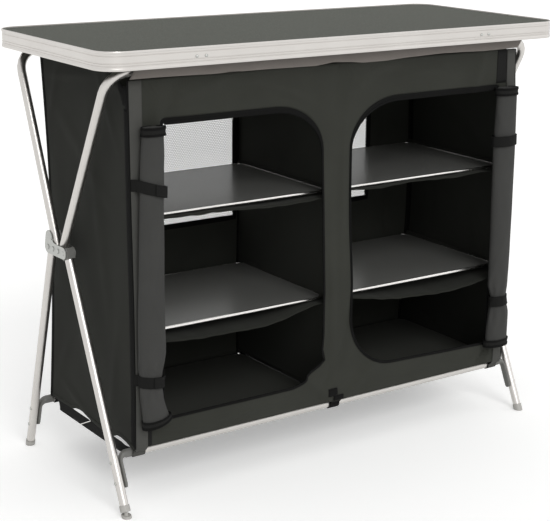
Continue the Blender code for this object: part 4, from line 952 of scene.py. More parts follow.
# Height of the hem against y: two arches over the webbing.
HEM_LINE = np.array([(-0.165, 0.1050), (-0.147, 0.1085), (-0.134, 0.1120), (-0.115, 0.1142), (-0.100, 0.1138),
                     (-0.0885, 0.1080), (-0.050, 0.1040), (-0.006, 0.1075), (0.009, 0.1110), (0.030, 0.1150),
                     (0.055, 0.1142), (0.073, 0.1068), (0.160, 0.1060)])
# On the right the hem lies flat on its strap.
HEM_FLAT = 0.1060
SIDE_FOLDS = [
    (-0.120, 0.742, 20, 0.060, 0.008, 0.0040), (-0.090, 0.700, 62, 0.070, 0.010, 0.0030),
    (0.060, 0.735, -6, 0.120, 0.007, 0.0030), (0.120, 0.690, -62, 0.080, 0.012, 0.0030),
    (0.020, 0.610, 35, 0.160, 0.016, 0.0022), (-0.050, 0.470, 82, 0.160, 0.016, 0.0022),
    (0.080, 0.420, 96, 0.150, 0.018, 0.0020), (0.020, 0.260, 70, 0.120, 0.018, 0.0022),
    (-0.090, 0.220, 100, 0.100, 0.014, 0.0022), (0.060, 0.135, 20, 0.060, 0.008, 0.0030),
    (-0.115, 0.140, -25, 0.050, 0.008, 0.0035), (0.120, 0.180, 120, 0.080, 0.012, 0.0022),
]


def back_depth(x, z):
    """The back cloth, drawn inwards near its side seams, most at half height and more on the left."""
    bow = np.sin(math.pi * np.clip((z - HEM_Z) / (CLOTH_TOP_Z - HEM_Z), 0.0, 1.0))
    bow = bow * np.where(np.asarray(x) < 0, BACK_BOW[-1], BACK_BOW[1])
    return BACK_Y - bow * np.minimum(np.abs(x) / CAB_HALF, 1.0) ** BOW_POWER


def side_wall(side):
    """share runs from the front seam to the back one, v from the hem to the top; the wall bulges by
    a slow wave plus the folds, and both fade to nothing at its seams."""
    share, v = np.meshgrid(np.linspace(0.0, 1.0, WALL_COLUMNS), np.linspace(0.0, 1.0, WALL_ROWS))
    start = FRONT_Y + 0.0006
    y = start + (BACK_Y - start) * share
    top = CLOTH_TOP_Z - NOTCH_DROP / (1 + np.exp((y - NOTCH_Y) / NOTCH_EASE))
    low = np.interp(y, HEM_LINE[:, 0], HEM_LINE[:, 1])
    low = low if side < 0 else np.minimum(low, HEM_FLAT)
    z = low + (top - low) * v
    depth = start + (back_depth(side * CAB_HALF, z) - start) * share
    fade = np.sin(math.pi * share) ** 0.6
    bulge = WAVE_HIGH * np.sin(math.pi * v) * (1 + np.sin(math.tau * y / WAVE_LONG + 4 * v))
    bulge = bulge + ridges(y, z, SIDE_FOLDS) - 0.0008
    x = side * (SIDE_X + bulge * fade) + lean(side * SIDE_X, z) * (1 - share)
    return np.stack((x, depth, z), axis=-1)


print("side walls: hem between", HEM_LINE[:, 1].min(), "and", HEM_LINE[:, 1].max(), "m")

# %% Side walls
# The black cover at a wall's front seam is this many cells wide, up to the row where its flap starts.
BOUND_CELLS, FLAP_ROW, FLAP_SLOPE = 3, 113, 1.35
for side, hand in HANDS.items():
    points = side_wall(side)
    wall = thicken(build(f"side_cloth_{hand}", points if side > 0 else points[:, ::-1], shaded_side_weave), CLOTH_T)
    fit(wall, "frame", [f"side_panel_{hand}"], soft=True)
    # A folded hem runs along the wall's foot and a tape up its rear seam.
    foot = points[0] + np.array((side * 0.0004, 0.0, 0.0035))
    seam = points[:, -1] + np.array((side * 0.0004, -0.004, 0.0))
    hem = strip(f"side_hem_{hand}", foot, ALONG_Z, side * ALONG_X, 0.008, 0.0018, shaded_side_weave)
    fit(hem, "frame", soft=True)
    rear = strip(f"side_seam_{hand}", seam, ALONG_Y, side * ALONG_X, 0.009, 0.0018, tape_weave)
    fit(rear, "frame", soft=True)
    # The front seam's turned-in edge is bound in black, and a flap closes the corner under the rim.
    lifted = points + side * 0.0010 * ALONG_X
    lifted = lifted if side > 0 else lifted[:, ::-1]
    row, column = np.indices((WALL_ROWS - 1, WALL_COLUMNS - 1))
    column = column if side > 0 else WALL_COLUMNS - 2 - column
    bound = (column < BOUND_CELLS) & (row < FLAP_ROW)
    flap = (row >= FLAP_ROW) & (column < 2 + (row - FLAP_ROW) * FLAP_SLOPE)
    for name, cells in (("bound_edge", bound), ("corner_flap", flap)):
        cover = build(f"{name}_{hand}", lifted, tape_weave, keep=cells[None])
        fit(thicken(cover, 0.0006), "frame", soft=True)
print("side walls: 2, the last", round(cloth_area(wall), 3), "m2")

# %% [markdown]
# ## Back wall and mesh windows
# The back is a black cloth with two windows of fine white net. Through the openings the net is the
# brightest thing in the cabinet. A net could be faked with see-through paint, but real holes keep
# working from every side and in the exported model. The real net has holes of about a millimetre,
# too fine to show here, so it is drawn with a 4 mm pitch and staggered rows.

# %% Back wall
WINDOW_IN_X, WINDOW_OUT_X = 0.018, 0.3245
WINDOW_LOW_Z, WINDOW_TOP_Z = 0.408, 0.618
BACK_FOLDS = [
    (0.0, 0.690, 88, 0.060, 0.012, 0.0030), (-0.180, 0.690, 10, 0.110, 0.012, 0.0030),
    (0.200, 0.695, -12, 0.110, 0.012, 0.0030), (-0.370, 0.500, 86, 0.160, 0.014, 0.0030),
    (0.370, 0.480, 94, 0.160, 0.014, 0.0030), (-0.160, 0.300, 40, 0.110, 0.018, 0.0030),
    (0.170, 0.310, -40, 0.110, 0.018, 0.0030), (0.0, 0.250, 90, 0.120, 0.014, 0.0030),
]


def back_folds(x, z):
    """The folds' height, none within the windows and growing over 30 mm from their edges."""
    edge = np.maximum(np.maximum(WINDOW_IN_X - np.abs(x), np.abs(x) - WINDOW_OUT_X),
                      np.maximum(WINDOW_LOW_Z - z, z - WINDOW_TOP_Z))
    calm = np.clip(edge / 0.03, 0.0, 1.0) * np.clip((CAB_HALF - np.abs(x)) / 0.04, 0.0, 1.0)
    return calm * ridges(x, z, BACK_FOLDS)


half = np.concatenate((np.linspace(0.0, WINDOW_IN_X, 3), np.linspace(WINDOW_IN_X, WINDOW_OUT_X, 41)[1:],
                       np.linspace(WINDOW_OUT_X, 0.395, 10)[1:], np.linspace(0.395, SIDE_X, 10)[1:]))
columns = np.concatenate((-half[:0:-1], half))
rows = np.concatenate((np.linspace(HEM_Z, WINDOW_LOW_Z, 34), np.linspace(WINDOW_LOW_Z, WINDOW_TOP_Z, 24)[1:],
                       np.linspace(WINDOW_TOP_Z, CLOTH_TOP_Z, 20)[1:]))
x, z = np.meshgrid(columns, rows)
middle_x, middle_z = (x[:-1, :-1] + x[1:, 1:]) / 2, (z[:-1, :-1] + z[1:, 1:]) / 2
window = ((np.abs(middle_x) > WINDOW_IN_X) & (np.abs(middle_x) < WINDOW_OUT_X)
          & (middle_z > WINDOW_LOW_Z) & (middle_z < WINDOW_TOP_Z))
depth = back_depth(x, z) + back_folds(x, z)
# The back takes the inside walls' lighter cloth, which is painted light.
back = build("back_cloth", np.stack((x, depth, z), axis=-1)[:, ::-1], lightened_inner_weave, keep=~window[None, :, ::-1])
back_cloth = thicken(back, CLOTH_T)
fit(back_cloth, "frame", ["back_panel"], soft=True)

# Dark tapes bind the seams of the back wall's corners and of the divider, seen from inside.
z = np.linspace(HEM_Z + 0.002, CLOTH_TOP_Z - 0.002, 80)
for name, x in (("left", -SIDE_X + 0.003), ("right", SIDE_X - 0.003), ("middle", MIDDLE_X)):
    seam = np.stack((np.full(80, x), back_depth(x, z) + back_folds(x, z) - 0.0020, z), axis=-1)
    cover = strip(f"back_seam_{name}", seam, ALONG_X, ALONG_Y, 0.0075, 0.0024, tape_weave)
    fit(cover, "frame", soft=True)
print("back cloth:", round(cloth_area(back_cloth), 3), "m2 round its windows")

# %% Mesh windows
NET_PITCH = 0.0040
NET_HOLE = 0.72


def net(low_x, high_x, low_z, high_z):
    """Six-sided cells in staggered rows: each cell is a ring of quads from its rim to a smaller hole."""
    wide = int(round((high_x - low_x) / NET_PITCH))
    tall = int(round((high_z - low_z) / (NET_PITCH * 0.866)))
    pitch_x, pitch_z = (high_x - low_x) / wide, (high_z - low_z) / tall
    i, j = np.meshgrid(np.arange(wide + 1), np.arange(tall + 1))
    x = low_x + (i + 0.5 * (j % 2)) * pitch_x
    z = low_z + j * pitch_z
    turn = np.radians(30.0 + 60.0 * np.arange(6))
    rim_x, rim_z = pitch_x / math.sqrt(3) * np.cos(turn), pitch_z / 1.5 * np.sin(turn)
    cells = []
    for size in (1.0, NET_HOLE):
        cx, cz = x.ravel()[:, None] + size * rim_x, z.ravel()[:, None] + size * rim_z
        cx, cz = np.clip(cx, low_x, high_x), np.clip(cz, low_z, high_z)
        cells.append(np.stack((cx, back_depth(cx, cz), cz), axis=-1))
    return np.stack(cells, axis=1)


for side, hand in HANDS.items():
    low, high = sorted((side * WINDOW_IN_X, side * WINDOW_OUT_X))
    mesh_net = build(f"window_net_{hand}", net(low, high, WINDOW_LOW_Z, WINDOW_TOP_Z), net_thread, ring=True)
    fit(thicken(mesh_net, 0.0005), "frame", [f"mesh_window_{hand}"], soft=True)
    foot, edge = WINDOW_LOW_Z - 0.0042, high + (0.0030 if side < 0 else 0.0)
    corners = np.array([(low, foot), (edge, foot), (edge, WINDOW_TOP_Z), (low, WINDOW_TOP_Z)])
    share = np.linspace(0.0, 1.0, 12, endpoint=False)[:, None]
    line = np.concatenate([a + (b - a) * share for a, b in zip(corners, np.roll(corners, -1, axis=0))])
    for face, lift in (("front", 0.0006), ("back", -0.0020)):
        tape = tape_round(line, 0.010, 0.001, lift, 0.0014, back_depth)
        binding = build(f"window_tape_{face}_{hand}", tape, tape_weave, ring=True, loop=True, solid=True)
        fit(binding, "frame", soft=True)
print("net: pitch", NET_PITCH / MM, "mm, holes", NET_HOLE, "of it")

# %% [markdown]
# ## Divider and slings
# A cloth wall parts the two halves, and under each board hangs a cloth sling that carries it. A
# sling is cut longer than the gap, so it sags between its side seams, most at the front edge. Those
# front edges hang each in its own way, so their sag is a short table for each, read off the picture,
# and it fades out towards the back. One parabola for all would look like a drawn curve.

# %% Divider
DIVIDER_LOW, DIVIDER_TOP, DIVIDER_TALL = 0.1162, 0.7570, 0.641
# How far behind the front cloth's face the divider's front edge is sewn.
DIVIDER_SET = 0.0026
share, z = np.meshgrid(np.linspace(0.0, 1.0, 49), np.linspace(DIVIDER_LOW, DIVIDER_TOP, 81))
rear = back_depth(MIDDLE_X, z) + back_folds(MIDDLE_X, z) - 0.0010
y = FRONT_Y + DIVIDER_SET + (rear - FRONT_Y - DIVIDER_SET) * share
sway = 0.0008 * np.sin(y * 40 + z * 9) * np.sin(math.pi * (z - DIVIDER_LOW) / DIVIDER_TALL)
# The divider takes the same lighter cloth: painted light.
divider = thicken(build("divider_cloth", np.stack((MIDDLE_X + sway, y, z), axis=-1), lightened_inner_weave), CLOTH_T)
fit(divider, "frame", ["centre_divider"], soft=True)
print("divider:", round(cloth_area(divider), 3), "m2")

# %% Sling sizes
BOARD_UNDER = {"upper": 0.513, "middle": 0.308, "floor": 0.111}
# The cloth's middle lies this far under a board, and the floor's sags this much more half way back.
SLING_UNDER, FLOOR_SAG = 0.0015, 0.0095
# The front edge of each sling, from the board's left end (-1) to its right end (1): how far it stands
# back from the front cloth and how far it hangs below the board, in millimetres.
SLING_EDGE = {
    ("upper", -1): ((-1.0, 9, 0.5), (-0.72, 8, 0.5), (-0.17, 6, 1.0), (0.10, 2, 3.0), (0.44, 0, 5.5),
                    (0.69, 0, 5.0), (0.85, 2, 3.5), (1.0, 10, 0.5)),
    ("upper", 1): ((-1.0, 16, 0.0), (-0.75, 14, 0.0), (-0.55, 5, 1.0), (-0.30, 10, 0.0), (-0.10, 13, 0.0),
                   (0.19, 8, 0.5), (0.40, 3, 1.5), (0.66, 10, 0.0), (1.0, 12, 0.0)),
    ("middle", -1): ((-1.0, 2, 6.0), (-0.72, 0, 13.0), (-0.40, 0, 18.0), (0.0, 0, 20.0), (0.20, 0, 21.0),
                     (0.42, 0, 17.0), (0.63, 1, 7.0), (0.80, 6, 1.0), (1.0, 10, 0.5)),
    ("middle", 1): ((-1.0, 8, 0.5), (-0.85, 6, 2.0), (-0.60, 0, 9.0), (-0.42, 0, 15.5), (-0.25, 0, 20.0),
                    (0.0, 0, 23.0), (0.17, 0, 25.0), (0.32, 0, 26.0), (0.50, 0, 24.5), (0.66, 0, 20.5),
                    (0.76, 0, 16.5), (1.0, 6, 6.0)),
}
BOARD_OUT_X, BOARD_GAP = 0.425, 0.0035
SLING_FRONT_Y, SLING_BACK_Y = -0.1630, 0.1603
SEAM_X = SIDE_X - 0.0009
# The upper slings' side seams sit this much further in, clear of the folding frame.
UPPER_SEAM_IN = 0.0056
# A sling starts this far from the divider's middle.
DIVIDER_CLEAR = 0.0021
# The strips beside a board rise this much to their seams.
SEAM_RISE = 0.012
# The slings' rear edges stop this far short of the back cloth.
BACK_CLEAR = {"upper": 0.0026, "middle": 0.0012, "floor": 0.0012}
# Where the left hem arches above ARCH_Z, the floor cloth ends FLOOR_SHORT short of the wall.
ARCH_Z, ARCH_EASE, FLOOR_SHORT = 0.1085, 0.003, 0.0058
print("sling edges:", len(SLING_EDGE), "tables; the lowest hangs",
      max(row[2] for table in SLING_EDGE.values() for row in table), "mm under its board")


# %% Slings
def read_off(table, at, reach=0.07):
    """A table's value columns at new places: straight runs between its rows, averaged over the
    neighbourhood of reach to each side, which rounds the corners off."""
    rows = np.array(table, float)
    near = [np.asarray(at) + shift for shift in np.linspace(-reach, reach, 7)]
    return [np.mean([np.interp(a, rows[:, 0], column) for a in near], axis=0) for column in rows.T[1:]]


def sling(level, side):
    """Height is the board's underside less the hang of the front edge, which fades to the back as
    (1 - share)^1.5, and the strips beside the board rise to their seams. The floor's hang is
    FLOOR_SAG (1 - across^2) sin(pi share)."""
    low, high = sorted((MIDDLE_X + side * BOARD_GAP, side * BOARD_OUT_X))
    seams = [MIDDLE_X + side * DIVIDER_CLEAR, side * (SEAM_X - (UPPER_SEAM_IN if level == "upper" else 0.0))]
    columns = np.sort(np.concatenate((np.linspace(low, high, 41), seams)))
    x, y = np.meshgrid(columns, np.linspace(SLING_FRONT_Y, SLING_BACK_Y, 25))
    back_share = (y - SLING_FRONT_Y) / (SLING_BACK_Y - SLING_FRONT_Y)
    across = (2 * x - low - high) / (high - low)
    over = np.abs(across) <= 1.0003
    z = np.full(x.shape, BOARD_UNDER[level] - SLING_UNDER)
    if level == "floor":
        slack = np.sin(math.pi * back_share)
        z -= FLOOR_SAG * np.clip(1 - across ** 2, 0.0, 1.0) * slack
        # On the left the floor cloth stops short of the wall where the hem arches up.
        open_hem = np.clip((np.interp(y, HEM_LINE[:, 0], HEM_LINE[:, 1]) - ARCH_Z) / ARCH_EASE, 0.0, 1.0)
        x = np.where(x <= -SEAM_X, x + FLOOR_SHORT * open_hem, x)
    else:
        slack = (1 - back_share) ** 1.5
        back, hang = read_off(SLING_EDGE[level, side], across)
        z = np.where(over, z - hang * MM * slack, z - hang * MM * slack + SEAM_RISE)
        y = y + back * MM * (1 - back_share)
    if level != "upper":
        x = x + lean(x, z) * (1 - back_share)
    ripple = 0.0016 * np.sin(x * 70) * np.sin(x * 23 + 2) * slack * over
    y = np.minimum(y, back_depth(x, z) - BACK_CLEAR[level])
    return np.stack((x, y, z - np.abs(ripple)), axis=-1)


for level in ("upper", "middle", "floor"):
    for side, hand in HANDS.items():
        node = "sling_floor" if level == "floor" else f"sling_{level}_{hand}"
        # The slings take the walls' darker cloth: painted shade under the boards.
        cloth = thicken(build(f"sling_cloth_{level}_{hand}", sling(level, side), shaded_side_weave), CLOTH_T)
        # The boards lie on their sling and take it with them as they fold.
        fit(cloth, f"{level}_boards", [node])
        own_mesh(cloth)
print("slings: 6, under three pairs of boards")

# %% [markdown]
# ## Rolled doors
# Each door is a cloth that has been unzipped and rolled up beside its opening, held by two ties. It
# is modelled as a real roll: a spiral of about four turns, carried down the height of the door. The
# ties draw it in and the cloth puckers above and below them, and the free lower end flares. A plain
# tube would miss the layered ends, which are what says that this is a door.

# %% Roll sizes
# Middle of a roll's depth, half its depth, and the half width that goes with it.
ROLL_Y, ROLL_DEEP, ROLL_USUAL = -0.1801, 0.0134, 0.0245
ROLL_TOP, ROLL_LOW = {-1: 0.6750, 1: 0.6795}, {-1: 0.1495, 1: 0.1520}
# Height, middle and half width of each roll, read off the picture: pinched at the lower tie.
ROLL_LINE = {
    -1: np.array([(0.1495, -0.3948, 0.0282), (0.171, -0.3984, 0.0259), (0.200, -0.4040, 0.0227),
                  (0.222, -0.4060, 0.0221), (0.236, -0.4064, 0.0214), (0.256, -0.4054, 0.0242),
                  (0.282, -0.4028, 0.0279), (0.327, -0.4030, 0.0273), (0.380, -0.4028, 0.0262),
                  (0.450, -0.4016, 0.0250), (0.519, -0.4006, 0.0244), (0.587, -0.3990, 0.0236),
                  (0.637, -0.3979, 0.0227), (0.676, -0.3965, 0.0213)]),
    1: np.array([(0.152, 0.4008, 0.0290), (0.167, 0.4009, 0.0296), (0.193, 0.4011, 0.0290),
                 (0.221, 0.4022, 0.0260), (0.240, 0.4016, 0.0222), (0.253, 0.4004, 0.0206),
                 (0.268, 0.3984, 0.0230), (0.282, 0.3965, 0.0258), (0.310, 0.3974, 0.0270),
                 (0.352, 0.3976, 0.0278), (0.414, 0.3968, 0.0280), (0.476, 0.3956, 0.0284),
                 (0.556, 0.3941, 0.0287), (0.636, 0.3941, 0.0276), (0.680, 0.3944, 0.0256)]),
}
ROLL_TURNS = 4.25
# Each tie's height, and how strongly the cloth puckers beside it.
TIE_Z, TIE_W, PUCKER = {-1: (0.572, 0.2350), 1: (0.5765, 0.2480)}, 0.020, (0.015, 0.085)
FOOT_RISE = {-1: 0.014, 1: 0.0}
# Creases as for the front cloth, with the way round from the door's side as the first place.
ROLL_FOLDS = [
    (-0.038, 0.645, 90, 0.030, 0.006, -0.0010), (-0.028, 0.600, 62, 0.045, 0.005, 0.0013),
    (-0.050, 0.500, 100, 0.060, 0.005, 0.0012), (-0.035, 0.430, 78, 0.070, 0.006, -0.0013),
    (-0.026, 0.340, 112, 0.050, 0.005, 0.0014), (-0.047, 0.300, 68, 0.035, 0.005, 0.0014),
    (-0.042, 0.266, 96, 0.016, 0.0035, 0.0020), (-0.031, 0.268, 76, 0.016, 0.0035, -0.0018),
    (-0.020, 0.262, 120, 0.016, 0.0035, 0.0018), (-0.050, 0.212, 74, 0.020, 0.004, 0.0018),
    (-0.034, 0.196, 112, 0.030, 0.005, -0.0016), (-0.024, 0.180, 60, 0.024, 0.005, 0.0015),
]
print("rolls:", ROLL_TURNS, "turns,", len(ROLL_FOLDS), "creases each")


# %% Rolled doors
def roll_scale(side, z, turn):
    """One, plus puckers in seven waves beside the ties, slow dents from the rolling, and the creases."""
    scale = np.ones(np.broadcast(z, turn).shape)
    for tie, pucker in zip(TIE_Z[side], PUCKER):
        near = (z - tie) / (TIE_W * 0.9)
        scale = scale + pucker * np.cos(7 * turn + tie * 30) * near ** 2 * np.exp(-near ** 2 / 2.4)
    scale = scale + 0.018 * np.sin(2 * turn + z * 17) * np.sin(z * 31)
    around_front = ((turn + math.pi) % math.tau - math.pi) * ROLL_USUAL
    return scale + ridges(around_front, z + 0 * turn, ROLL_FOLDS) / ROLL_DEEP * 0.7


def roll(side, radius, turn, z):
    """(middle + half width * s * cos, depth * s * sin) with s = radius * scale; the middle and the half
    width come from the table, the depth follows the width, and the left foot's free side rides up."""
    facing = turn if side < 0 else math.pi - turn
    table = ROLL_LINE[side]
    middle, half = (np.interp(z, table[:, 0], table[:, i]) for i in (1, 2))
    scale = roll_scale(side, z, facing) * radius
    rise = np.clip((ROLL_LOW[side] + 0.043 - z) / 0.043, 0.0, 1.0) ** 1.5
    rise = FOOT_RISE[side] * rise * (0.5 + 0.5 * np.cos(facing)) ** 1.5
    return np.stack((middle + half * scale * np.cos(turn),
                     ROLL_Y + ROLL_DEEP * np.minimum(half / ROLL_USUAL, 1.04) * scale * np.sin(turn),
                     np.broadcast_to(z, scale.shape) + rise), axis=-1)


def roll_skin(side, off, turn, z):
    """Points that stand off the roll's outer turn, sideways by off * cos and forwards by off * sin."""
    points = roll(side, 1.0, turn, z)
    points[..., 0] += off * np.cos(turn)
    points[..., 1] += off * np.sin(turn)
    return points


for side, hand in HANDS.items():
    spiral = np.linspace(0.0, ROLL_TURNS, int(ROLL_TURNS * 36))
    turn = math.pi / 2 + side * (spiral - ROLL_TURNS) * math.tau
    turn, z = np.meshgrid(turn, np.linspace(ROLL_LOW[side], ROLL_TOP[side], 151))
    radius = 0.22 + 0.78 * np.broadcast_to(spiral / ROLL_TURNS, turn.shape)
    door = thicken(build(f"door_roll_cloth_{hand}", roll(side, radius, turn, z), roll_weave), 0.0009)
    fit(door, "frame", [f"door_roll_{hand}"], soft=True)

# %% [markdown]
# ## Zip tapes on the rolls, and the ties
# The zip runs along the door's top and bottom edges, so it shows as a dark tape between two black
# cords round both ends of the roll. Each tie is a webbing strap from the corner seam round the roll,
# with a hook-and-loop end that stands off a little.


# %% Roll ends
def roll_band(side, low, high, lift, thick):
    """A closed band round the roll between two heights, standing lift off it and thick deep."""
    turn = np.linspace(0.0, math.tau, 48, endpoint=False)
    rings = []
    for z, off in ((low, lift), (low, lift + thick), (high, lift + thick), (high, lift)):
        rings.append(roll_skin(side, off, turn, np.full(turn.shape, z)))
    return np.stack(rings)


# Heights up from the roll's foot, or down from its top where they are negative.
ZIP_BANDS = {"top_edge": (-0.0032, 0.0012), "top_tape": (-0.0100, -0.0034), "top_cord": (-0.0138, -0.0102),
             "foot_cord": (0.0102, 0.0138), "foot_tape": (0.0034, 0.0100), "foot_edge": (-0.0012, 0.0032)}
for side, hand in HANDS.items():
    for name, (low, high) in ZIP_BANDS.items():
        base = ROLL_TOP[side] if "top" in name else ROLL_LOW[side]
        thick = 0.0007 if "tape" in name else 0.0015
        band = build(f"roll_{name}_{hand}", roll_band(side, base + low, base + high, 0.0004, thick),
                     zip_weave if "tape" in name else tape_weave, ring=True, loop=True, solid=True, sharp=50)
        fit(band, "frame", soft=True)
print("roll ends:", len(ZIP_BANDS), "bands on each roll")

# %% Ties
# How far each tie slopes down from the seam to the roll's far side, by hand and height.
TIE_SLOPE = {(-1, 0): 0.015, (-1, 1): 0.006, (1, 0): 0.001, (1, 1): 0.0}
TIE_T = 0.0013
# A tie leaves the corner seam here and meets the roll there, as x and y.
TIE_START = ((0.4335, 0.4275), (-0.1680, -0.1715))


def webbing(name, points):
    """A strap over a grid of points on the roll, and the length of its middle row."""
    strap = thicken(build(name, points, strap_weave), TIE_T)
    return fit(strap, "frame", soft=True), path_length(points[len(points) // 2])


for side, hand in HANDS.items():
    for level, name in enumerate(("upper", "lower")):
        z = TIE_Z[side][level] + np.linspace(-0.5, 0.5, 7)[:, None] * TIE_W
        # From the seam, in front of the tape, to the roll, then all the way round it.
        angle = np.radians(np.linspace(-168.0, 180.0, 73))
        turn = angle if side < 0 else math.pi - angle
        fall = TIE_SLOPE[side, level] * -0.5 * np.cos(angle)[None]
        loop_points = roll_skin(side, 0.0011, turn[None] + 0 * z, z + 0 * turn[None])
        loop_points[..., 2] += fall
        start_x, start_y = (np.linspace(*ends, 4)[None] for ends in TIE_START)
        start = np.stack(np.broadcast_arrays(side * start_x, start_y, z + fall[:, :1]), axis=-1)
        tie, around_roll = webbing(f"door_tie_{name}_{hand}",
                                   np.concatenate((start, loop_points), axis=1))
        # The hook-and-loop end lies on the loop and leaves it at the side.
        angle = np.radians(np.linspace(-95.0, -22.0, 20))
        turn = angle if side < 0 else math.pi - angle
        lap = roll_skin(side, 0.0026, turn[None] + 0 * z, z + 0 * turn[None])
        lap[..., 2] += TIE_SLOPE[side, level] * -0.5 * np.cos(angle)[None]
        leave = lap[:, -1:] + (lap[:, -1:] - lap[:, -2:-1]) * np.linspace(0.4, 2.4, 6)[None, :, None]
        end, length = webbing(f"tie_end_{name}_{hand}", np.concatenate((lap, leave), axis=1))
print("ties: 4, the last", round(around_roll, 3), "m long")

# %% [markdown]
# ## Corner tapes and bar loops
# A paler tape runs down each front corner, over the seam, and its lower end hooks over the front bar
# to hold the cabinet down. A black loop does the same in the middle, and a strap joins the two bars
# along each side. Each is a ribbon swept along a path: down the cloth, over the tube, and back.


# %% Ribbon paths
def wrap(middle, radius, start, end, count=15):
    """Points of a circle about a bar in the (y, z) plane, from one angle to another in degrees."""
    turn = np.radians(np.linspace(start, end, count))
    return np.stack((middle[0] + radius * np.cos(turn), middle[1] + radius * np.sin(turn)), axis=-1)


def ribbon(name, path, across, width, material, thickness=0.0012, count=9):
    """A strap: each (x, y, z) path point plus even steps of the width along its own across vector."""
    path = np.asarray(path, float)
    step = np.linspace(-0.5, 0.5, count)[None, :, None] * np.reshape(width, (-1, 1, 1))
    across = np.broadcast_to(np.asarray(across, float), path.shape)
    strap = build(name, path[:, None] + step * across[:, None], material)
    return thicken(strap, thickness), path_length(path)


# %% Corner tapes
BAR_Z, BAR_R = 0.098, 0.008
FRONT_BAR, REAR_BAR = on_leg(FRONT_LEG, BAR_Z), on_leg(REAR_LEG, BAR_Z)
TAPE_X, TAPE_W = {-1: -0.4210, 1: 0.4208}, {-1: 0.0245, 1: 0.0215}
down = np.stack((np.full(60, FRONT_Y - 0.0016), np.linspace(0.7520, 0.1100, 60)), axis=-1)
# Below the cloth the tape runs on down past the bar's front and hooks under it.
over_bar = np.concatenate(([(-0.1630, 0.1040)], wrap(FRONT_BAR, BAR_R + 0.0016, 172.0, 226.0, 9)))
tape_path = np.concatenate((down, over_bar))
for side, hand in HANDS.items():
    y, z = tape_path[:, 0], tape_path[:, 1]
    x = TAPE_X[side] + lean(side * CAB_HALF, z) * 0.8
    tape, length = ribbon(f"corner_tape_{hand}", np.stack((x, y, z), axis=-1), ALONG_X, TAPE_W[side],
                          strip_weave)
    fit(tape, "frame", soft=True)
    z = down[:, 1]
    seam = np.stack((side * 0.4336 + lean(side * CAB_HALF, z), np.full(60, FRONT_Y - 0.0008), z), axis=-1)
    piping = strip(f"corner_piping_{hand}", seam, ALONG_X, ALONG_Y, 0.0032, 0.0032, tape_weave, sharp=None)
    fit(piping, "frame", soft=True)
# Beside the right tape a dark strip above its roll is painted shadow, and a black piece ends the left sill.
for name, middle, width, low, high in (("head_pleat_right", 0.3905, 0.0250, 0.6880, 0.7520),
                                       ("sill_end_left", -0.4045, 0.0105, 0.1110, 0.1480)):
    z = np.linspace(low, high, 12)
    place = np.stack((np.full(12, middle), front_depth(middle, z) - 0.0010, z), axis=-1)
    piece, length = ribbon(name, place, ALONG_X, width, zip_weave, thickness=0.0008)
    fit(piece, "frame", soft=True)
print("corner tapes:", {HANDS[side]: round(TAPE_W[side] / MM, 1) for side in HANDS}, "mm wide")

# %% Middle loop
LOOP_X, PATCH_X = 0.0090, -0.0045
LOOP_W, PATCH_W = 0.0225, 0.0205


def before_cloth(x, width, z, lift=0.0012):
    """The foremost y of the cloth under a ribbon's width at each height, less the lift."""
    across = x + width * np.linspace(-0.5, 0.5, 9)[:, None]
    return front_depth(across, z[None]).min(axis=0) - lift


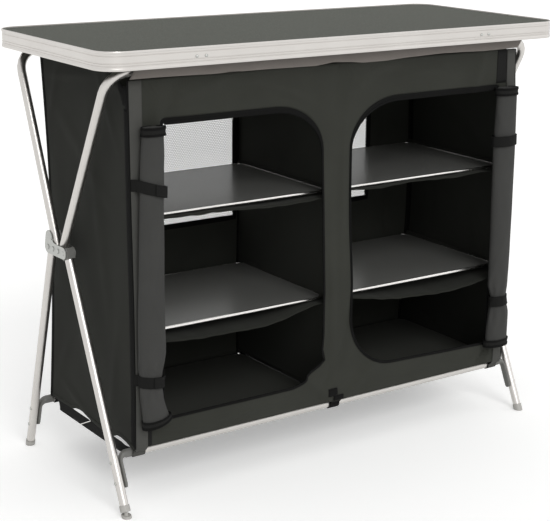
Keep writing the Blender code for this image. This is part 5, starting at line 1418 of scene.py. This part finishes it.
loop_z = np.linspace(0.1200, 0.1110, 5)
down = np.stack((before_cloth(LOOP_X, LOOP_W, loop_z), loop_z), axis=-1)
loop_path = np.concatenate((down, [(-0.1620, 0.1060)], wrap(FRONT_BAR, BAR_R + 0.0014, 168.0, 372.0, 21),
                            [(-0.1400, 0.1100)]))
loop_path = np.concatenate((np.full((len(loop_path), 1), LOOP_X), loop_path), axis=1)
loop_strap, length = ribbon("middle_loop", loop_path, ALONG_X, LOOP_W, tape_weave)
fit(loop_strap, "frame", ["bar_loop_middle"], soft=True)
patch_z = np.linspace(0.1200, 0.1350, 6)
patch = np.stack((np.full(6, PATCH_X), before_cloth(PATCH_X, PATCH_W, patch_z), patch_z), axis=-1)
patch_strap, length = ribbon("middle_patch", patch, ALONG_X, PATCH_W, tape_weave)
fit(patch_strap, "frame", soft=True)
print("middle loop and patch:", LOOP_W / MM, "and", PATCH_W / MM, "mm wide")

# %% Side straps
# The strap lies round each bar, and between them it stands upright in the wall's own plane.
STRAP_X, STRAP_W, STRAP_WALL_X, STRAP_LOW = 0.4165, 0.020, 0.4318, 0.0965
# The slider's ends as (y, z), how far it stands before the strap's middle, and its width's direction.
SLIDER_ENDS, SLIDER_OUT, SLIDER_ACROSS = ((0.042, 0.0855), (-0.003, 0.1080)), 0.0014, (0.0, 0.45, 0.89)
reach = (REAR_BAR[0] - FRONT_BAR[0]) / 2 - BAR_R - 0.0012
middle_y = (REAR_BAR[0] + FRONT_BAR[0]) / 2
front_eye = wrap(FRONT_BAR, BAR_R + 0.0012, 352.0, 8.0, 25)
rear_eye = wrap(REAR_BAR, BAR_R + 0.0012, 188.0, 532.0, 25)
y = np.linspace(middle_y - reach, middle_y + reach, 62)[1:-1]
ease = np.clip((reach - np.abs(y - middle_y)) / 0.030, 0.0, 1.0)
ease = ease * ease * (3 - 2 * ease)
for side, hand in HANDS.items():
    span = np.stack((side * (STRAP_X + (STRAP_WALL_X - STRAP_X) * ease), y,
                     BAR_Z + (STRAP_LOW - BAR_Z) * ease), axis=-1)
    upright = np.stack((np.cos(ease * math.pi / 2), 0 * ease, np.sin(ease * math.pi / 2) * side), axis=-1)
    eyes = [np.concatenate((np.full((25, 1), side * STRAP_X), eye), axis=1) for eye in (front_eye, rear_eye)]
    level = np.tile(ALONG_X, (25, 1))
    strap, length = ribbon(f"side_strap_{hand}", np.concatenate((eyes[0], span, eyes[1])),
                           np.concatenate((level, upright, level)), STRAP_W, strap_weave)
    fit(strap, "frame", [f"side_webbing_{hand}"], soft=True)
    # A thin wire slider crosses the strap at a slant and takes up its slack.
    wire = np.array([(side * (STRAP_WALL_X + SLIDER_OUT), *end) for end in SLIDER_ENDS])
    slider = strip(f"strap_slider_{hand}", wire, SLIDER_ACROSS, side * ALONG_X, 0.0016, 0.0012, edge_metal,
                   sharp=40)
    fit(slider, "frame", soft=True)
print("side straps:", round(length, 3), "m long")
